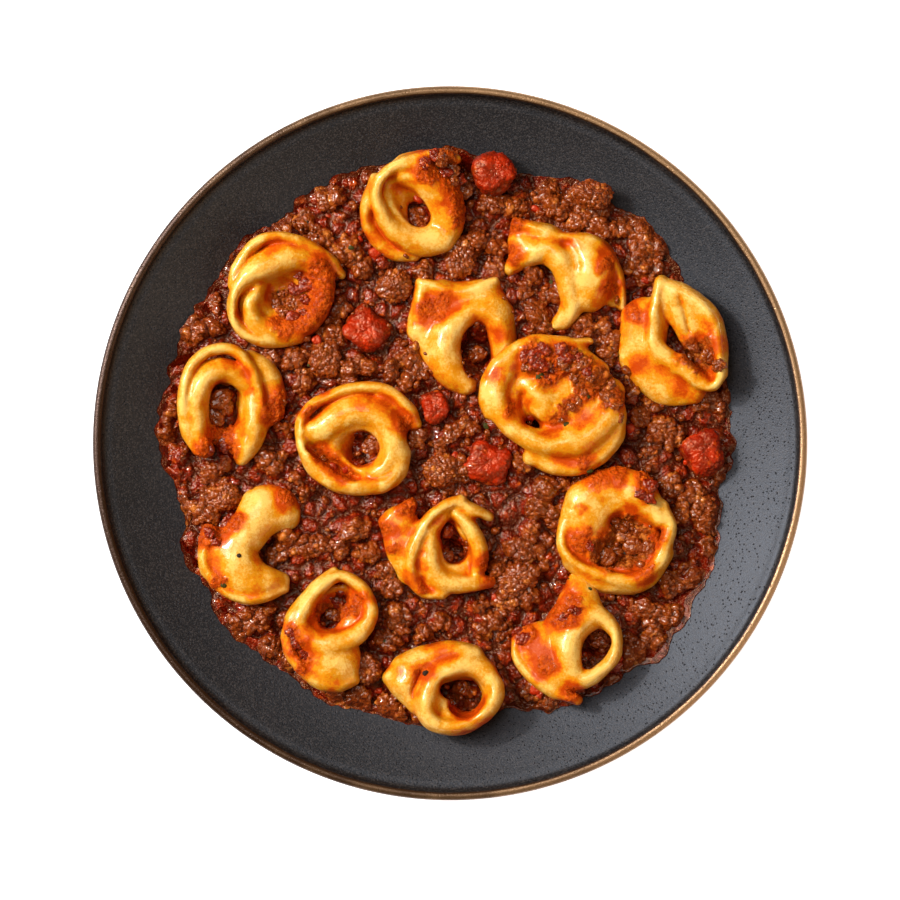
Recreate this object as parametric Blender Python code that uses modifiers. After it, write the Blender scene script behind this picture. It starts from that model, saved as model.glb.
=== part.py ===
"""A plate of tortellini in meat sauce: a coupe plate, a heap of sauce, and the tortellini,
tomato dice and lumps of meat that lie in the sauce. Metres, +Z up. The origin is the middle
of the plate's foot, on the table."""

import math

import bmesh
import bpy
import numpy as np
from mathutils import Matrix, Vector

MM = 0.001
TURN = 2 * math.pi
GAP = 0.3 * MM  # between pieces that touch
SHARP_ANGLE = math.radians(38)

# Plate: a shallow coupe, flat in the middle and curving up to a rounded lip.
PLATE_RADIUS = 115 * MM
FLOOR_RADIUS = 60 * MM
FLOOR_HEIGHT = 8 * MM
WALL_RISE = 16.5 * MM  # from the floor to the lip, inside
WALL_CURVE = 1.8  # power of the wall's curve
WALL_DEPTH = 4.5 * MM  # thickness, measured upright
LIP_RADIUS = 1.5 * MM
FOOT_OUTER = 63 * MM
FOOT_INNER = 56 * MM
FOOT_RECESS = 3 * MM
INSIDE_RADII = (0, 60, 74, 88, 100)  # mm, where the section has points on the inside
OUTSIDE_RADII = (111, 98, 84, 70)
LIP_STEPS = 4
PLATE_STEPS = 40

# Sauce: a heap that fills the plate's middle.
SAUCE_RADIUS = 92.6 * MM
SAUCE_WAVES = (  # of the heap's outline: (waves round it, height as a share of the radius, phase)
    (1, 0.010, 5.3), (5, 0.006, 6.0), (7, 0.006, 0.9), (9, 0.010, 5.1), (10, 0.006, 4.5),
    (12, 0.006, 2.0), (16, 0.009, 1.8),
)
SAUCE_EDGE = 1.2 * MM  # height of the heap's edge above the plate
SAUCE_CROWN = 2.4 * MM  # how far the middle stands above the edge
SAUCE_RELIEF = 0.6 * MM
SAUCE_TOP_RINGS = (0, 0.17, 0.34, 0.50, 0.65, 0.79, 0.91, 1)  # shares of the outline's radius
SAUCE_UNDER_RINGS = (0.985, 0.82, 0.62, 0)
SAUCE_STEPS = 42

# Tortellini: the filled belly runs round a hole, and the sealed edge stands round it as a collar.
DOUGH_UP = 6.4 * MM  # from the middle of the dough to its crest
DOUGH_DOWN = 5.6 * MM
COLLAR_WIDTH = 3.4 * MM
THIN_BAND = 4 * MM  # least width of the band round a hole
UNDER_DOUGH = 3.2 * MM  # sauce between a tortellino and the plate
POCKET_TOP = 14 * MM  # top of a cutter above the middle of the dough, clear of the sauce
SEAM_STEP = 2 * MM  # how far the upper end rises, and the lower one dips
STEPS_AROUND = 16

# Each tortellino, in mm and degrees, angles counter-clockwise from +X seen from above.
# at: middle of the outline; size and turn: its half axes and their direction; hole, hole_turn
# and hole_at: the same for the hole, its middle counted from at; seam: where the band's ends
# lie over each other, slant: how far the seam runs round between hole and outline, way: which
# way the upper end goes from it; collar: the stretch that has a collar, counter-clockwise;
# crest: place of the belly's crest between hole and groove; rim: the collar's height above the
# crest; corners: (direction, share of the reach, width); mouth: where the ring sinks into the
# sauce (direction, depth, width); up: how far it is raised; lean: (direction, degrees).
PLAIN = dict(
    turn=0, hole_turn=0, seam=180, slant=40, way=-1, collar=(), groove=0.65, crest=0.45,
    rim=0.0, corners=(), mouth=(0, 0, 30), up=0.0, lean=(0, 0),
)
TORTELLINI = [
    dict(at=(-12.6, 76.8), size=(18.6, 17.2), turn=100, hole=(7.0, 4.4), hole_turn=-28,
         hole_at=(1.4, -4.0), seam=20, slant=-30, way=1, collar=(95, 250), crest=0.8,
         groove=0.5, rim=-2.6, corners=((145, -0.08, 25),), up=0.8),
    dict(at=(-53.0, 49.5), size=(20.0, 18.4), turn=145, hole=(9.2, 5.8), hole_turn=50,
         hole_at=(1.3, -2.4), seam=112, slant=75, way=-1, collar=(5, 262), rim=-0.4,
         mouth=(350, 2.2, 40)),
    dict(at=(-70.4, 12.4), size=(20.0, 17.6), turn=100, hole=(10.2, 5.4), hole_turn=105,
         hole_at=(-1.6, -4.2), seam=18, slant=48, way=-1, collar=(40, 235), rim=0.3,
         mouth=(272, 5.5, 22)),
    dict(at=(-29.6, 1.6), size=(20.6, 18.6), turn=8, hole=(7.2, 4.4), hole_turn=-12,
         hole_at=(1.8, -3.6), seam=238, slant=25, way=1, collar=(20, 312), rim=-0.2,
         corners=((-28, -0.18, 16),), up=1.2),
    dict(at=(3.8, 33.6), size=(18.6, 17.8), turn=120, hole=(8.2, 4.6), hole_turn=68,
         hole_at=(5.8, -2.6), seam=60, slant=-20, way=1, up=-0.4, lean=(310, 4),
         corners=((130, 0.24, 15), (71, 0.26, 12), (95, -0.04, 12)), mouth=(310, 3.0, 40)),
    dict(at=(37.6, 54.6), size=(20.4, 18.6), turn=-20, hole=(9.4, 6.8), hole_turn=60,
         hole_at=(-8.0, -4.6), seam=95, slant=-30, way=-1, collar=(300, 78), groove=0.8,
         crest=0.4, rim=-2.4, mouth=(212, 6.0, 38), corners=((128, 0.12, 14),)),
    dict(at=(71.6, 31.0), size=(19.4, 17.4), turn=100, hole=(11.0, 6.0), hole_turn=-52,
         hole_at=(6.4, 1.6), seam=112, slant=12, way=1, crest=0.3,
         corners=((112, 0.22, 10), (318, 0.10, 22)), mouth=(40, 1.6, 50)),
    dict(at=(33.2, 12.0), size=(24.6, 22.4), turn=-25, hole=(6.0, 4.2), hole_turn=20,
         hole_at=(-5.2, -6.4), seam=85, slant=35, way=-1, collar=(85, 215), groove=0.8,
         crest=0.35, rim=0.6, up=3.6, lean=(140, 3), corners=((62, 0.10, 14),)),
    dict(at=(54.6, -28.8), size=(20.6, 18.6), turn=75, hole=(8.8, 6.6), hole_turn=10,
         hole_at=(3.2, -3.2), seam=95, slant=-15, way=1, collar=(180, 345), groove=0.5,
         rim=0.4, corners=((72, 0.14, 18), (190, 0.10, 16))),
    dict(at=(36.6, -64.0), size=(21.0, 16.6), turn=-65, hole=(6.6, 4.2), hole_turn=58,
         hole_at=(10.4, -1.6), seam=330, slant=20, way=1, crest=0.3, rim=-3.4,
         collar=(205, 262), corners=((112, 0.16, 12), (262, 0.08, 14))),
    dict(at=(1.2, -78.4), size=(16.8, 15.2), turn=20, hole=(6.6, 4.6), hole_turn=-35,
         hole_at=(4.4, -2.2), seam=250, slant=15, way=1, crest=0.4,
         corners=((158, 0.42, 15), (215, -0.06, 18), (256, 0.12, 10))),
    dict(at=(-5.6, -33.6), size=(18.6, 17.0), turn=-10, hole=(8.0, 4.2), hole_turn=78,
         hole_at=(6.2, -4.2), seam=75, slant=20, way=-1, collar=(108, 262), crest=0.8,
         groove=0.5, rim=-2.2, up=0.8,
         corners=((38, 0.26, 11), (342, 0.30, 11), (140, 0.10, 14), (196, -0.16, 22))),
    dict(at=(-39.0, -60.0), size=(20.6, 15.8), turn=78, hole=(7.8, 5.2), hole_turn=52,
         hole_at=(2.2, 4.4), seam=205, slant=-25, way=1, crest=0.25, collar=(140, 262),
         groove=0.5, rim=-3.0, corners=((215, -0.07, 20),), up=0.6, lean=(240, 5)),
    dict(at=(-65.2, -32.6), size=(19.8, 16.4), turn=80, hole=(6.6, 5.2), hole_turn=20,
         hole_at=(6.8, -2.4), seam=350, slant=10, way=1, crest=0.4, collar=(175, 318),
         rim=-1.6, mouth=(2, 6.0, 28)),
]
# Tortellini that are pressed in by a neighbour that lies on them: {lower: uppers}.
PRESSED = {5: (8,), 6: (5, 8), 7: (6, 8), 9: (8,), 10: (9,), 2: (1,), 3: (2,), 12: (4,), 14: (13,)}

# Tomato dice and meat lumps, in mm and degrees: at, size, turn and, where it differs from
# BEDDED, how deep the piece is sunk, as a share of its height.
BEDDED = 0.55
TOMATO_DICE = [
    dict(at=(14.2, 87.0), size=(13, 11, 9), turn=35),
    dict(at=(-26.8, 37.4), size=(14, 12, 10), turn=50),
    dict(at=(-5.0, 11.6), size=(9, 11, 8), turn=15),
    dict(at=(12.2, -6.4), size=(13, 15, 9), turn=70),
    dict(at=(81.6, -3.2), size=(12, 15, 9), turn=20),
]
MEAT_LUMPS = [
    dict(at=(-18.0, 50.8), size=(13.5, 13.0, 11), turn=20),
    dict(at=(3.8, 60.6), size=(12.0, 17.0, 11), turn=10),
    dict(at=(-27.6, -72.6), size=(12.5, 12.5, 10), turn=40),
    dict(at=(-3.6, -8.6), size=(16.0, 13.0, 10), turn=50),
    dict(at=(46.0, 79.6), size=(16.0, 11.0, 10), turn=-20),
    dict(at=(-71.6, -18.4), size=(14.0, 11.0, 9), turn=30),
    dict(at=(22.0, -44.6), size=(16.0, 13.0, 10), turn=35),
    dict(at=(-40.6, 27.6), size=(11.0, 15.0, 9), turn=-20),
]
ROUGHNESS_SEED = 7


def clear_scene():
    for obj in list(bpy.data.objects):
        bpy.data.objects.remove(obj)


def new_collection(name):
    collection = bpy.data.collections.new(name)
    bpy.context.scene.collection.children.link(collection)
    return collection


def material(name, color, roughness, metallic=0.0):
    made = bpy.data.materials.new(name)
    made.use_nodes = True
    shader = made.node_tree.nodes["Principled BSDF"]
    shader.inputs["Base Color"].default_value = (*color, 1)
    shader.inputs["Roughness"].default_value = roughness
    shader.inputs["Metallic"].default_value = metallic
    return made


def place(mesh, name, collection, finish, matrix=None):
    """A named object for this mesh, shaded smooth, with its material."""
    obj = bpy.data.objects.new(name, mesh)
    collection.objects.link(obj)
    obj.matrix_world = matrix or Matrix()
    mesh.materials.append(finish)
    mesh.shade_smooth()
    mesh.set_sharp_from_angle(angle=SHARP_ANGLE)
    return obj


def evaluated_mesh(obj):
    """A copy of the object's mesh with its modifiers applied, in the object's own space."""
    bpy.context.view_layer.update()
    return bpy.data.meshes.new_from_object(obj.evaluated_get(bpy.context.evaluated_depsgraph_get()))


def smooth_step(t):
    t = np.clip(t, 0, 1)
    return t * t * (3 - 2 * t)


def swells(x, y, count=9, wavelength=14 * MM):
    """Smooth unevenness from -1 to 1: a sum of sine waves in seeded directions."""
    rng = np.random.default_rng(ROUGHNESS_SEED)
    total = np.zeros(np.shape(x))
    for direction, phase, stretch in zip(
        rng.uniform(0, TURN, count), rng.uniform(0, TURN, count), rng.uniform(0.6, 1.6, count)
    ):
        along = x * math.cos(direction) + y * math.sin(direction)
        total += np.sin(along * TURN / (wavelength * stretch) + phase)
    return total / count * 2


# ---------------------------------------------------------------- plate

def plate_inside(radius):
    """Height of the plate's inner surface at this radius."""
    out = np.clip((np.asarray(radius) - FLOOR_RADIUS) / (PLATE_RADIUS - FLOOR_RADIUS), 0, None)
    return FLOOR_HEIGHT + WALL_RISE * out**WALL_CURVE


def plate_profile():
    """Half section from the middle of the floor, over the lip and back under to the axis."""
    lip_middle = PLATE_RADIUS - LIP_RADIUS
    lip_height = float(plate_inside(lip_middle - LIP_RADIUS))
    points = [(r * MM, float(plate_inside(r * MM))) for r in INSIDE_RADII]
    for k in range(LIP_STEPS + 1):
        turn = math.pi * (1 - k / LIP_STEPS)
        points.append((lip_middle + LIP_RADIUS * math.cos(turn),
                       lip_height + LIP_RADIUS * math.sin(turn)))
    points += [(r * MM, float(plate_inside(r * MM)) - WALL_DEPTH) for r in OUTSIDE_RADII]
    points += [(FOOT_OUTER + MM, FOOT_RECESS), (FOOT_OUTER, 0), (FOOT_INNER, 0),
               (FOOT_INNER - MM, FOOT_RECESS), (0, FOOT_RECESS)]
    return points


def turned(name, points, steps):
    """A closed body of revolution about Z, from a half section of (radius, height)."""
    line = bpy.data.meshes.new(name)
    line.from_pydata([(r, 0, z) for r, z in points], [(k, k + 1) for k in range(len(points) - 1)], [])
    helper = bpy.data.objects.new(name + "_line", line)
    bpy.context.scene.collection.objects.link(helper)
    screw = helper.modifiers.new("Turn", "SCREW")
    screw.steps = screw.render_steps = steps
    screw.use_merge_vertices = True
    screw.merge_threshold = 0.00001
    mesh = evaluated_mesh(helper)
    bpy.data.objects.remove(helper)
    return mesh


# ---------------------------------------------------------------- sauce

def sauce_outline(turn):
    """Radius of the heap's uneven edge in this direction."""
    return SAUCE_RADIUS * (1 + sum(share * np.sin(waves * turn + phase)
                                   for waves, share, phase in SAUCE_WAVES))


def sauce_top(x, y):
    """Height of the heap's surface: a low dome with relief, level with the plate at its edge."""
    share = np.hypot(x, y) / sauce_outline(np.arctan2(y, x))
    edge = plate_inside(SAUCE_RADIUS) + SAUCE_EDGE
    relief = SAUCE_RELIEF * swells(x, y) * smooth_step((1 - share) / 0.1)
    return edge + SAUCE_CROWN * (1 - np.minimum(share, 1) ** 5) + relief


def sauce_mesh():
    """A turned lens whose points are moved to the heap's outline, its surface and the plate."""
    points = [(s, 1) for s in SAUCE_TOP_RINGS] + [(s, -1) for s in SAUCE_UNDER_RINGS]
    mesh = turned("sauce", points, SAUCE_STEPS)
    for vertex in mesh.vertices:
        turn = math.atan2(vertex.co.y, vertex.co.x)
        radius = math.hypot(vertex.co.x, vertex.co.y) * float(sauce_outline(turn))
        x, y = radius * math.cos(turn), radius * math.sin(turn)
        floor = float(plate_inside(radius)) + GAP
        height = float(sauce_top(x, y)) if vertex.co.z > 0 else floor
        vertex.co = (x, y, max(height, floor + (SAUCE_EDGE if vertex.co.z > 0 else 0)))
    return mesh


# ---------------------------------------------------------------- tortellini

def reach(turn, middle, half, axis):
    """Distance from a point inside an ellipse to its edge, in each direction.
    middle is the ellipse's middle seen from that point, half its half axes."""
    c, s = math.cos(axis), math.sin(axis)
    hx, hy = -(middle[0] * c + middle[1] * s), middle[0] * s - middle[1] * c
    dx, dy = np.cos(turn - axis), np.sin(turn - axis)
    a, b = half
    square = (dx / a) ** 2 + (dy / b) ** 2
    mixed = hx * dx / a**2 + hy * dy / b**2
    rest = (hx / a) ** 2 + (hy / b) ** 2 - 1
    return (-mixed + np.sqrt(mixed**2 - square * rest)) / square


def bump_at(turn, direction, width):
    """1 in this direction, falling to 0 within about twice the width; angles in radians."""
    away = (turn - direction + math.pi) % TURN - math.pi
    return np.exp(-((away / width) ** 2))


def inside_arc(turn, start, end, fade=0.35):
    """1 on the arc from start counter-clockwise to end, fading over the last stretch of it."""
    span = (end - start) % TURN
    along = (turn - start) % TURN
    return smooth_step(along / fade) * smooth_step((span - along) / fade)


def dough(spec, pocket=False):
    """The tortellino's surface as an array (around, section, 3), its middle at the origin.
    The section starts at the hole and goes over the belly, down into the groove, over the
    collar and back underneath. A pocket has the same underside, carried straight up."""
    spec = {**PLAIN, **spec}
    rad = math.radians
    hole_at = np.array(spec["hole_at"]) * MM
    first = rad(spec["corners"][0][0]) if spec["corners"] else 0  # so a step meets the corner
    turn = first + np.arange(STEPS_AROUND) * TURN / STEPS_AROUND
    hole = reach(turn, (0, 0), [h * MM for h in spec["hole"]], rad(spec["hole_turn"]))
    outline = reach(turn, -hole_at, [h * MM for h in spec["size"]], rad(spec["turn"]))
    for direction, push, spread in spec["corners"]:
        outline = outline * (1 + push * bump_at(turn, rad(direction), rad(spread)))
    width = np.maximum(outline - hole, THIN_BAND)

    # Knots of the section: (distance from the hole, height), on the underside first.
    under = [(width, 0), (0.8 * width, -0.85 * DOUGH_DOWN), (0.3 * width, -DOUGH_DOWN)]
    if pocket:
        top = [(0, 0), (0, POCKET_TOP), (width, POCKET_TOP)]
    else:
        edge = width - COLLAR_WIDTH
        crest = np.maximum(spec["crest"] * edge, 2 * MM)
        collar = inside_arc(turn, *map(rad, spec["collar"])) if spec["collar"] else 0 * turn
        rim = DOUGH_UP + spec["rim"] * MM
        plain = [(0, 0), (0.3 * crest, 0.72 * DOUGH_UP), (crest, DOUGH_UP),
                 (crest + 0.5 * (width - crest), 0.86 * DOUGH_UP),
                 (crest + 0.84 * (width - crest), 0.50 * DOUGH_UP)]
        collared = [(0, 0), (0.3 * crest, 0.72 * DOUGH_UP), (crest, DOUGH_UP),
                    (edge, (1 - spec["groove"]) * DOUGH_UP), (width - 0.45 * COLLAR_WIDTH, rim)]
        top = [tuple(p + collar * (c - p) for p, c in zip(*pair)) for pair in zip(plain, collared)]
    radial, height = (np.stack(np.broadcast_arrays(*values, turn)[:-1], axis=1)
                      for values in zip(*(top + under)))
    radial = hole[:, None] + radial
    turn = turn[:, None]

    # The upper end of the band rises at the seam and the other end passes under it.
    share = np.clip((radial - hole[:, None]) / width[:, None], 0, 1)
    seam = rad(spec["seam"]) + rad(spec["slant"]) * share
    phase = ((turn - seam) * spec["way"] % TURN) / TURN
    lift = SEAM_STEP * (1 - smooth_step(phase / 0.3) - smooth_step((phase - 0.75) / 0.25))
    direction, depth, spread = spec["mouth"]
    sink = depth * MM * bump_at(turn, rad(direction), rad(spread))
    up_share = smooth_step((height + DOUGH_DOWN) / (DOUGH_UP + DOUGH_DOWN))
    height = height + lift * (height > MM) - sink * up_share
    x = hole_at[0] + radial * np.cos(turn)
    y = hole_at[1] + radial * np.sin(turn)
    return np.stack([x, y, height], axis=-1)


def seat(spec):
    """Where the tortellino lies: on the sauce over the plate, leaning as the plate rises."""
    spec = {**PLAIN, **spec}
    at = Vector((*spec["at"], 0)) * MM
    radius, half = at.length, 15 * MM
    low, high = float(plate_inside(radius - half)), float(plate_inside(radius + half))
    outward = at.normalized()
    direction, degrees = math.radians(spec["lean"][0]), spec["lean"][1]
    lean_axis = Vector((-math.sin(direction), math.cos(direction), 0))
    height = (low + high) / 2 + UNDER_DOUGH + DOUGH_DOWN + spec["up"] * MM
    uphill = Vector((-outward.y, outward.x, 0))
    return (Matrix.Translation((at.x, at.y, height))
            @ Matrix.Rotation(-math.atan2(high - low, 2 * half), 4, uphill)
            @ Matrix.Rotation(math.radians(degrees), 4, lean_axis))


def ring_mesh(name, points):
    """A mesh closed both ways from an array (around, section, 3). Each cell is split along
    the same diagonal, so a pocket keeps its distance from its tortellino everywhere."""
    around, section = points.shape[:2]
    here = np.arange(around * section).reshape(around, section)
    ahead, over = np.roll(here, -1, 0), np.roll(here, -1, 1)
    both = np.roll(ahead, -1, 1)
    halves = np.stack([here, over, both, here, both, ahead], axis=-1).reshape(-1, 3)
    mesh = bpy.data.meshes.new(name)
    mesh.from_pydata(points.reshape(-1, 3).tolist(), [], halves.tolist())
    return mesh


# ---------------------------------------------------------------- dice and lumps

def bedded(spec):
    """Where a die or a lump lies: sunk in the sauce by BEDDED of its height, above the plate."""
    x, y = (v * MM for v in spec["at"])
    height = spec["size"][2] * MM
    outer = math.hypot(x, y) + max(spec["size"][:2]) / 2 * MM
    lowest = float(plate_inside(outer)) + MM
    level = max(float(sauce_top(x, y)) - height * BEDDED, lowest) + height / 2
    return Matrix.Translation((x, y, level)) @ Matrix.Rotation(math.radians(spec["turn"]), 4, "Z")


def tomato_mesh(name, size):
    """A soft die: a bevelled box, a little narrower on top."""
    shape = bmesh.new()
    bmesh.ops.create_cube(shape, size=1)
    for vertex in shape.verts:
        taper = 0.86 if vertex.co.z > 0 else 1
        vertex.co = [c * s * MM * k for c, s, k in zip(vertex.co, size, (taper, taper, 1))]
    bmesh.ops.bevel(shape, geom=shape.edges[:], offset=2.2 * MM, segments=2, profile=0.6, affect="EDGES")
    mesh = bpy.data.meshes.new(name)
    shape.to_mesh(mesh)
    shape.free()
    return mesh


def lump_mesh(name, size, number):
    """A lump of minced meat: a ball pushed in and out in seeded directions."""
    shape = bmesh.new()
    bmesh.ops.create_icosphere(shape, subdivisions=2, radius=1)
    rng = np.random.default_rng(number)
    knobs = rng.normal(size=(7, 3))
    knobs /= np.linalg.norm(knobs, axis=1)[:, None]
    for vertex in shape.verts:
        nearest = max(vertex.co.dot(Vector(knob)) for knob in knobs)
        vertex.co = [c * s / 2 * MM * (0.80 + 0.20 * nearest**3) for c, s in zip(vertex.co, size)]
    mesh = bpy.data.meshes.new(name)
    shape.to_mesh(mesh)
    shape.free()
    return mesh


# ---------------------------------------------------------------- fitting pieces together

def grown(mesh):
    """A copy of the mesh, larger by GAP all round."""
    copy = mesh.copy()
    normals = [vertex.normal.copy() for vertex in copy.vertices]
    for vertex, normal in zip(copy.vertices, normals):
        vertex.co += normal * GAP
    return copy


def cutter_at(obj, mesh, name, collection):
    """A cutter with this mesh in the object's place."""
    cutter = bpy.data.objects.new(f"{obj.name}_{name}", mesh)
    collection.objects.link(cutter)
    cutter.matrix_world = obj.matrix_world
    cutter.hide_render = True
    cutter.display_type = "WIRE"
    return cutter


def cut(obj, cutter, solver="EXACT"):
    modifier = obj.modifiers.new("Cut", "BOOLEAN")
    modifier.operation = "DIFFERENCE"
    modifier.solver = solver
    modifier.object = cutter


def build():
    clear_scene()
    dish = new_collection("tortellini_plate")
    cutters = new_collection("cutters")
    glaze = material("plate_glaze", (0.045, 0.042, 0.043), 0.45)
    ragu = material("meat_sauce", (0.26, 0.05, 0.015), 0.35)
    pasta = material("pasta", (0.80, 0.42, 0.07), 0.40)
    tomato = material("tomato", (0.50, 0.05, 0.015), 0.25)
    meat = material("meat", (0.20, 0.07, 0.03), 0.45)

    place(turned("plate", plate_profile(), PLATE_STEPS), "plate", dish, glaze)
    sauce = place(sauce_mesh(), "sauce", dish, ragu)

    tortellini = {}
    for number, spec in enumerate(TORTELLINI, 1):
        name = f"tortellino_{number:02d}"
        mesh = ring_mesh(name, dough(spec))
        tortellini[number] = place(mesh, name, dish, pasta, seat(spec))
    bits = []
    for number, spec in enumerate(TOMATO_DICE, 1):
        name = f"tomato_{number}"
        bits.append(place(tomato_mesh(name, spec["size"]), name, dish, tomato, bedded(spec)))
    for number, spec in enumerate(MEAT_LUMPS, 1):
        name = f"meat_lump_{number:02d}"
        bits.append(place(lump_mesh(name, spec["size"], number), name, dish, meat, bedded(spec)))

    around = {number: cutter_at(obj, grown(obj.data), "grown", cutters)
              for number, obj in tortellini.items()}
    for number, obj in tortellini.items():
        pocket = ring_mesh(obj.name + "_pocket", dough(TORTELLINI[number - 1], pocket=True))
        cut(sauce, cutter_at(obj, grown(pocket), "pocket", cutters), "MANIFOLD")
    for bit in bits:
        cut(sauce, cutter_at(bit, grown(bit.data), "grown", cutters), "MANIFOLD")
    bpy.context.view_layer.update()
    for lower, uppers in PRESSED.items():
        for upper in uppers:
            cut(tortellini[lower], around[upper])
    for bit in bits:
        for cutter in around.values():
            if near(bit, cutter):
                cut(bit, cutter)


def near(one, other):
    """Whether the boxes of two objects meet."""
    boxes = []
    for obj in (one, other):
        corners = np.array([obj.matrix_world @ Vector(corner) for corner in obj.bound_box])
        boxes.append((corners.min(0), corners.max(0)))
    return bool((boxes[0][0] < boxes[1][1]).all() and (boxes[1][0] < boxes[0][1]).all())


build()
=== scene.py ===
import math
import bpy
import numpy as np
from mathutils import Matrix, Vector


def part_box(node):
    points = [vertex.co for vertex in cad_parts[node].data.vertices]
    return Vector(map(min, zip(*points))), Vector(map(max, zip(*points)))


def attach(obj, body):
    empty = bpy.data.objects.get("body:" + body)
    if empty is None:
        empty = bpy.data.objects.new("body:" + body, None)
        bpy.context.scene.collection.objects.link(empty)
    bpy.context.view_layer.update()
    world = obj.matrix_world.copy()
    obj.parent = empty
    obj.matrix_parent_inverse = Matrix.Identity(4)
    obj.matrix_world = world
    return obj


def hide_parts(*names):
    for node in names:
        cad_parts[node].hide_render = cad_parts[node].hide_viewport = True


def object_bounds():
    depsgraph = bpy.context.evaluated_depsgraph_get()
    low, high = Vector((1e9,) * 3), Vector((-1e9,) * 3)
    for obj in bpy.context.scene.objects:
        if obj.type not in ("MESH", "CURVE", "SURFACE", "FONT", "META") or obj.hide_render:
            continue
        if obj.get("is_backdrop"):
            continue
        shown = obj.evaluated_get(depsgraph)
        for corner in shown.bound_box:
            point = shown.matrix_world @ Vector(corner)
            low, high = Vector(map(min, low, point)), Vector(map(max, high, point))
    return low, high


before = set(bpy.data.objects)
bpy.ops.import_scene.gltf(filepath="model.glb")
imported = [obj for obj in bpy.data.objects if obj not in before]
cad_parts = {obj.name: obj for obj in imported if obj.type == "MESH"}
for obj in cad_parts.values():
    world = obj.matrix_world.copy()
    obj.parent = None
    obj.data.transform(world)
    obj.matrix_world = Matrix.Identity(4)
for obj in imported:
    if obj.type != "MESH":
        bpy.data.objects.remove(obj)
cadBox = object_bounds()
mm = 0.001
fullTurn = 2 * math.pi


# Noise and small sums that every piece shares; all lengths in these functions are millimetres.

# Rises from 0 to 1 with flat ends: three squares less two cubes.
def smoothStep(share):
    share = np.clip(share, 0, 1)
    return share * share * (3 - 2 * share)


# Whole-number cells become scrambled numbers from 0 to 1, by multiplying, shifting and mixing their bits.
def scattered(cells, seed):
    mixed = np.full(cells.shape[:-1], (seed * 40503 + 977) % 65521, np.uint32)
    for axis, step in enumerate((73856093, 19349663, 83492791)[:cells.shape[-1]]):
        mixed = mixed ^ (cells[..., axis].astype(np.int64).astype(np.uint32) * np.uint32(step))
        mixed = (mixed ^ (mixed >> np.uint32(15))) * np.uint32(2246822519)
        mixed = (mixed ^ (mixed >> np.uint32(13))) * np.uint32(3266489917)
    return ((mixed ^ (mixed >> np.uint32(16))) & np.uint32(0xFFFFFF)) / float(0xFFFFFF)


# Scrambled values at the corners of cells of this size, blended smoothly between them, from -1 to 1.
def softNoise(points, size, seed=0):
    scaled = points / size
    corner = np.floor(scaled)
    blend = smoothStep(scaled - corner)
    total = 0
    for step in np.ndindex(*(2,) * points.shape[-1]):
        weight = np.prod(np.where(np.array(step), blend, 1 - blend), axis=-1)
        total = total + weight * scattered(corner + step, seed)
    return 2 * total - 1


# One grain sits at a random place in each cell of this size. Returns a round dome over each grain, 1 at its
# middle and lower in the crease where it meets the next, and a value from 0 to 1 that is its own.
def grains(points, size, seed=0, full=1.0):
    scaled = points / size
    cell = np.floor(scaled)
    nearest = np.full(points.shape[:-1], 9.0)
    second = nearest
    tint = np.zeros(points.shape[:-1])
    for step in np.ndindex(*(3,) * points.shape[-1]):
        corner = cell + np.array(step) - 1
        middle = corner + np.stack([scattered(corner, seed + n) for n in range(points.shape[-1])], -1)
        gap = np.sqrt(((scaled - middle) ** 2).sum(-1))
        tint = np.where(gap < nearest, scattered(corner, seed + 7), tint)
        second = np.minimum(second, np.maximum(nearest, gap))
        nearest = np.minimum(nearest, gap)
    dome = np.sqrt(np.clip(1 - (nearest / full) ** 2, 0, 1))
    return dome * (0.6 + 0.4 * smoothStep((second - nearest) / 0.5)), tint


# The larger of two heights, with a rounded join of this size.
def softMax(first, second, join):
    overlap = np.clip(0.5 + 0.5 * (first - second) / join, 0, 1)
    return second + (first - second) * overlap + join * overlap * (1 - overlap)


# A cubic curve through all the rows (Catmull-Rom), read at equal steps from row to row.
def smoothLine(rows, count, closed=False):
    rows = np.array(rows, float)
    if closed:
        padded, spans = np.vstack([rows[-1:], rows, rows[:2]]), len(rows)
        at = np.arange(count) / count * spans
    else:
        padded, spans = np.vstack([2 * rows[0] - rows[1], rows, 2 * rows[-1] - rows[-2]]), len(rows) - 1
        at = np.linspace(0, spans, count)
    first = np.minimum(at.astype(int), spans - 1)
    t = (at - first)[:, None]
    a, b, c, d = (padded[first + n] for n in range(4))
    return 0.5 * (2 * b + (c - a) * t + (2 * a - 5 * b + 4 * c - d) * t**2 + (3 * b - a - 3 * c + d) * t**3)


# Corner numbers of the four-sided faces between neighbours on a grid of rows by columns.
def gridFaces(rows, columns, wrapRows=False, wrapColumns=False):
    row = np.arange(rows if wrapRows else rows - 1)[:, None]
    column = np.arange(columns if wrapColumns else columns - 1)[None]
    nextRow, nextColumn = (row + 1) % rows, (column + 1) % columns
    corners = [row * columns + column, row * columns + nextColumn,
               nextRow * columns + nextColumn, nextRow * columns + column]
    return np.stack(corners, -1).reshape(-1, 4)


# Triangles from one point to each step of a ring of point numbers.
def fanFaces(tip, ring):
    return np.stack([np.full(len(ring), tip), ring, np.roll(ring, -1)], -1)


# Volume inside the faces, a sixth of the sum of every triangle's triple product; negative when inside out.
def signedVolume(points, triangles):
    a, b, c = (points[triangles[:, n]] for n in range(3))
    return np.einsum("ij,ij->i", a, np.cross(b, c)).sum() / 6


# Joins shapes of (points, quads, triangles) into one, each turned to face outwards first.
def joinShapes(shapes):
    points, quads, triangles, start = [], [], [], 0
    for place, four, three in shapes:
        split = np.vstack([four[:, [0, 1, 2]], four[:, [0, 2, 3]], three])
        if signedVolume(place - place.mean(0), split) < 0:
            four, three = four[:, ::-1], three[:, ::-1]
        points.append(place)
        quads.append(four + start)
        triangles.append(three + start)
        start += len(place)
    return np.vstack(points), np.vstack(quads), np.vstack(triangles)


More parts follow.
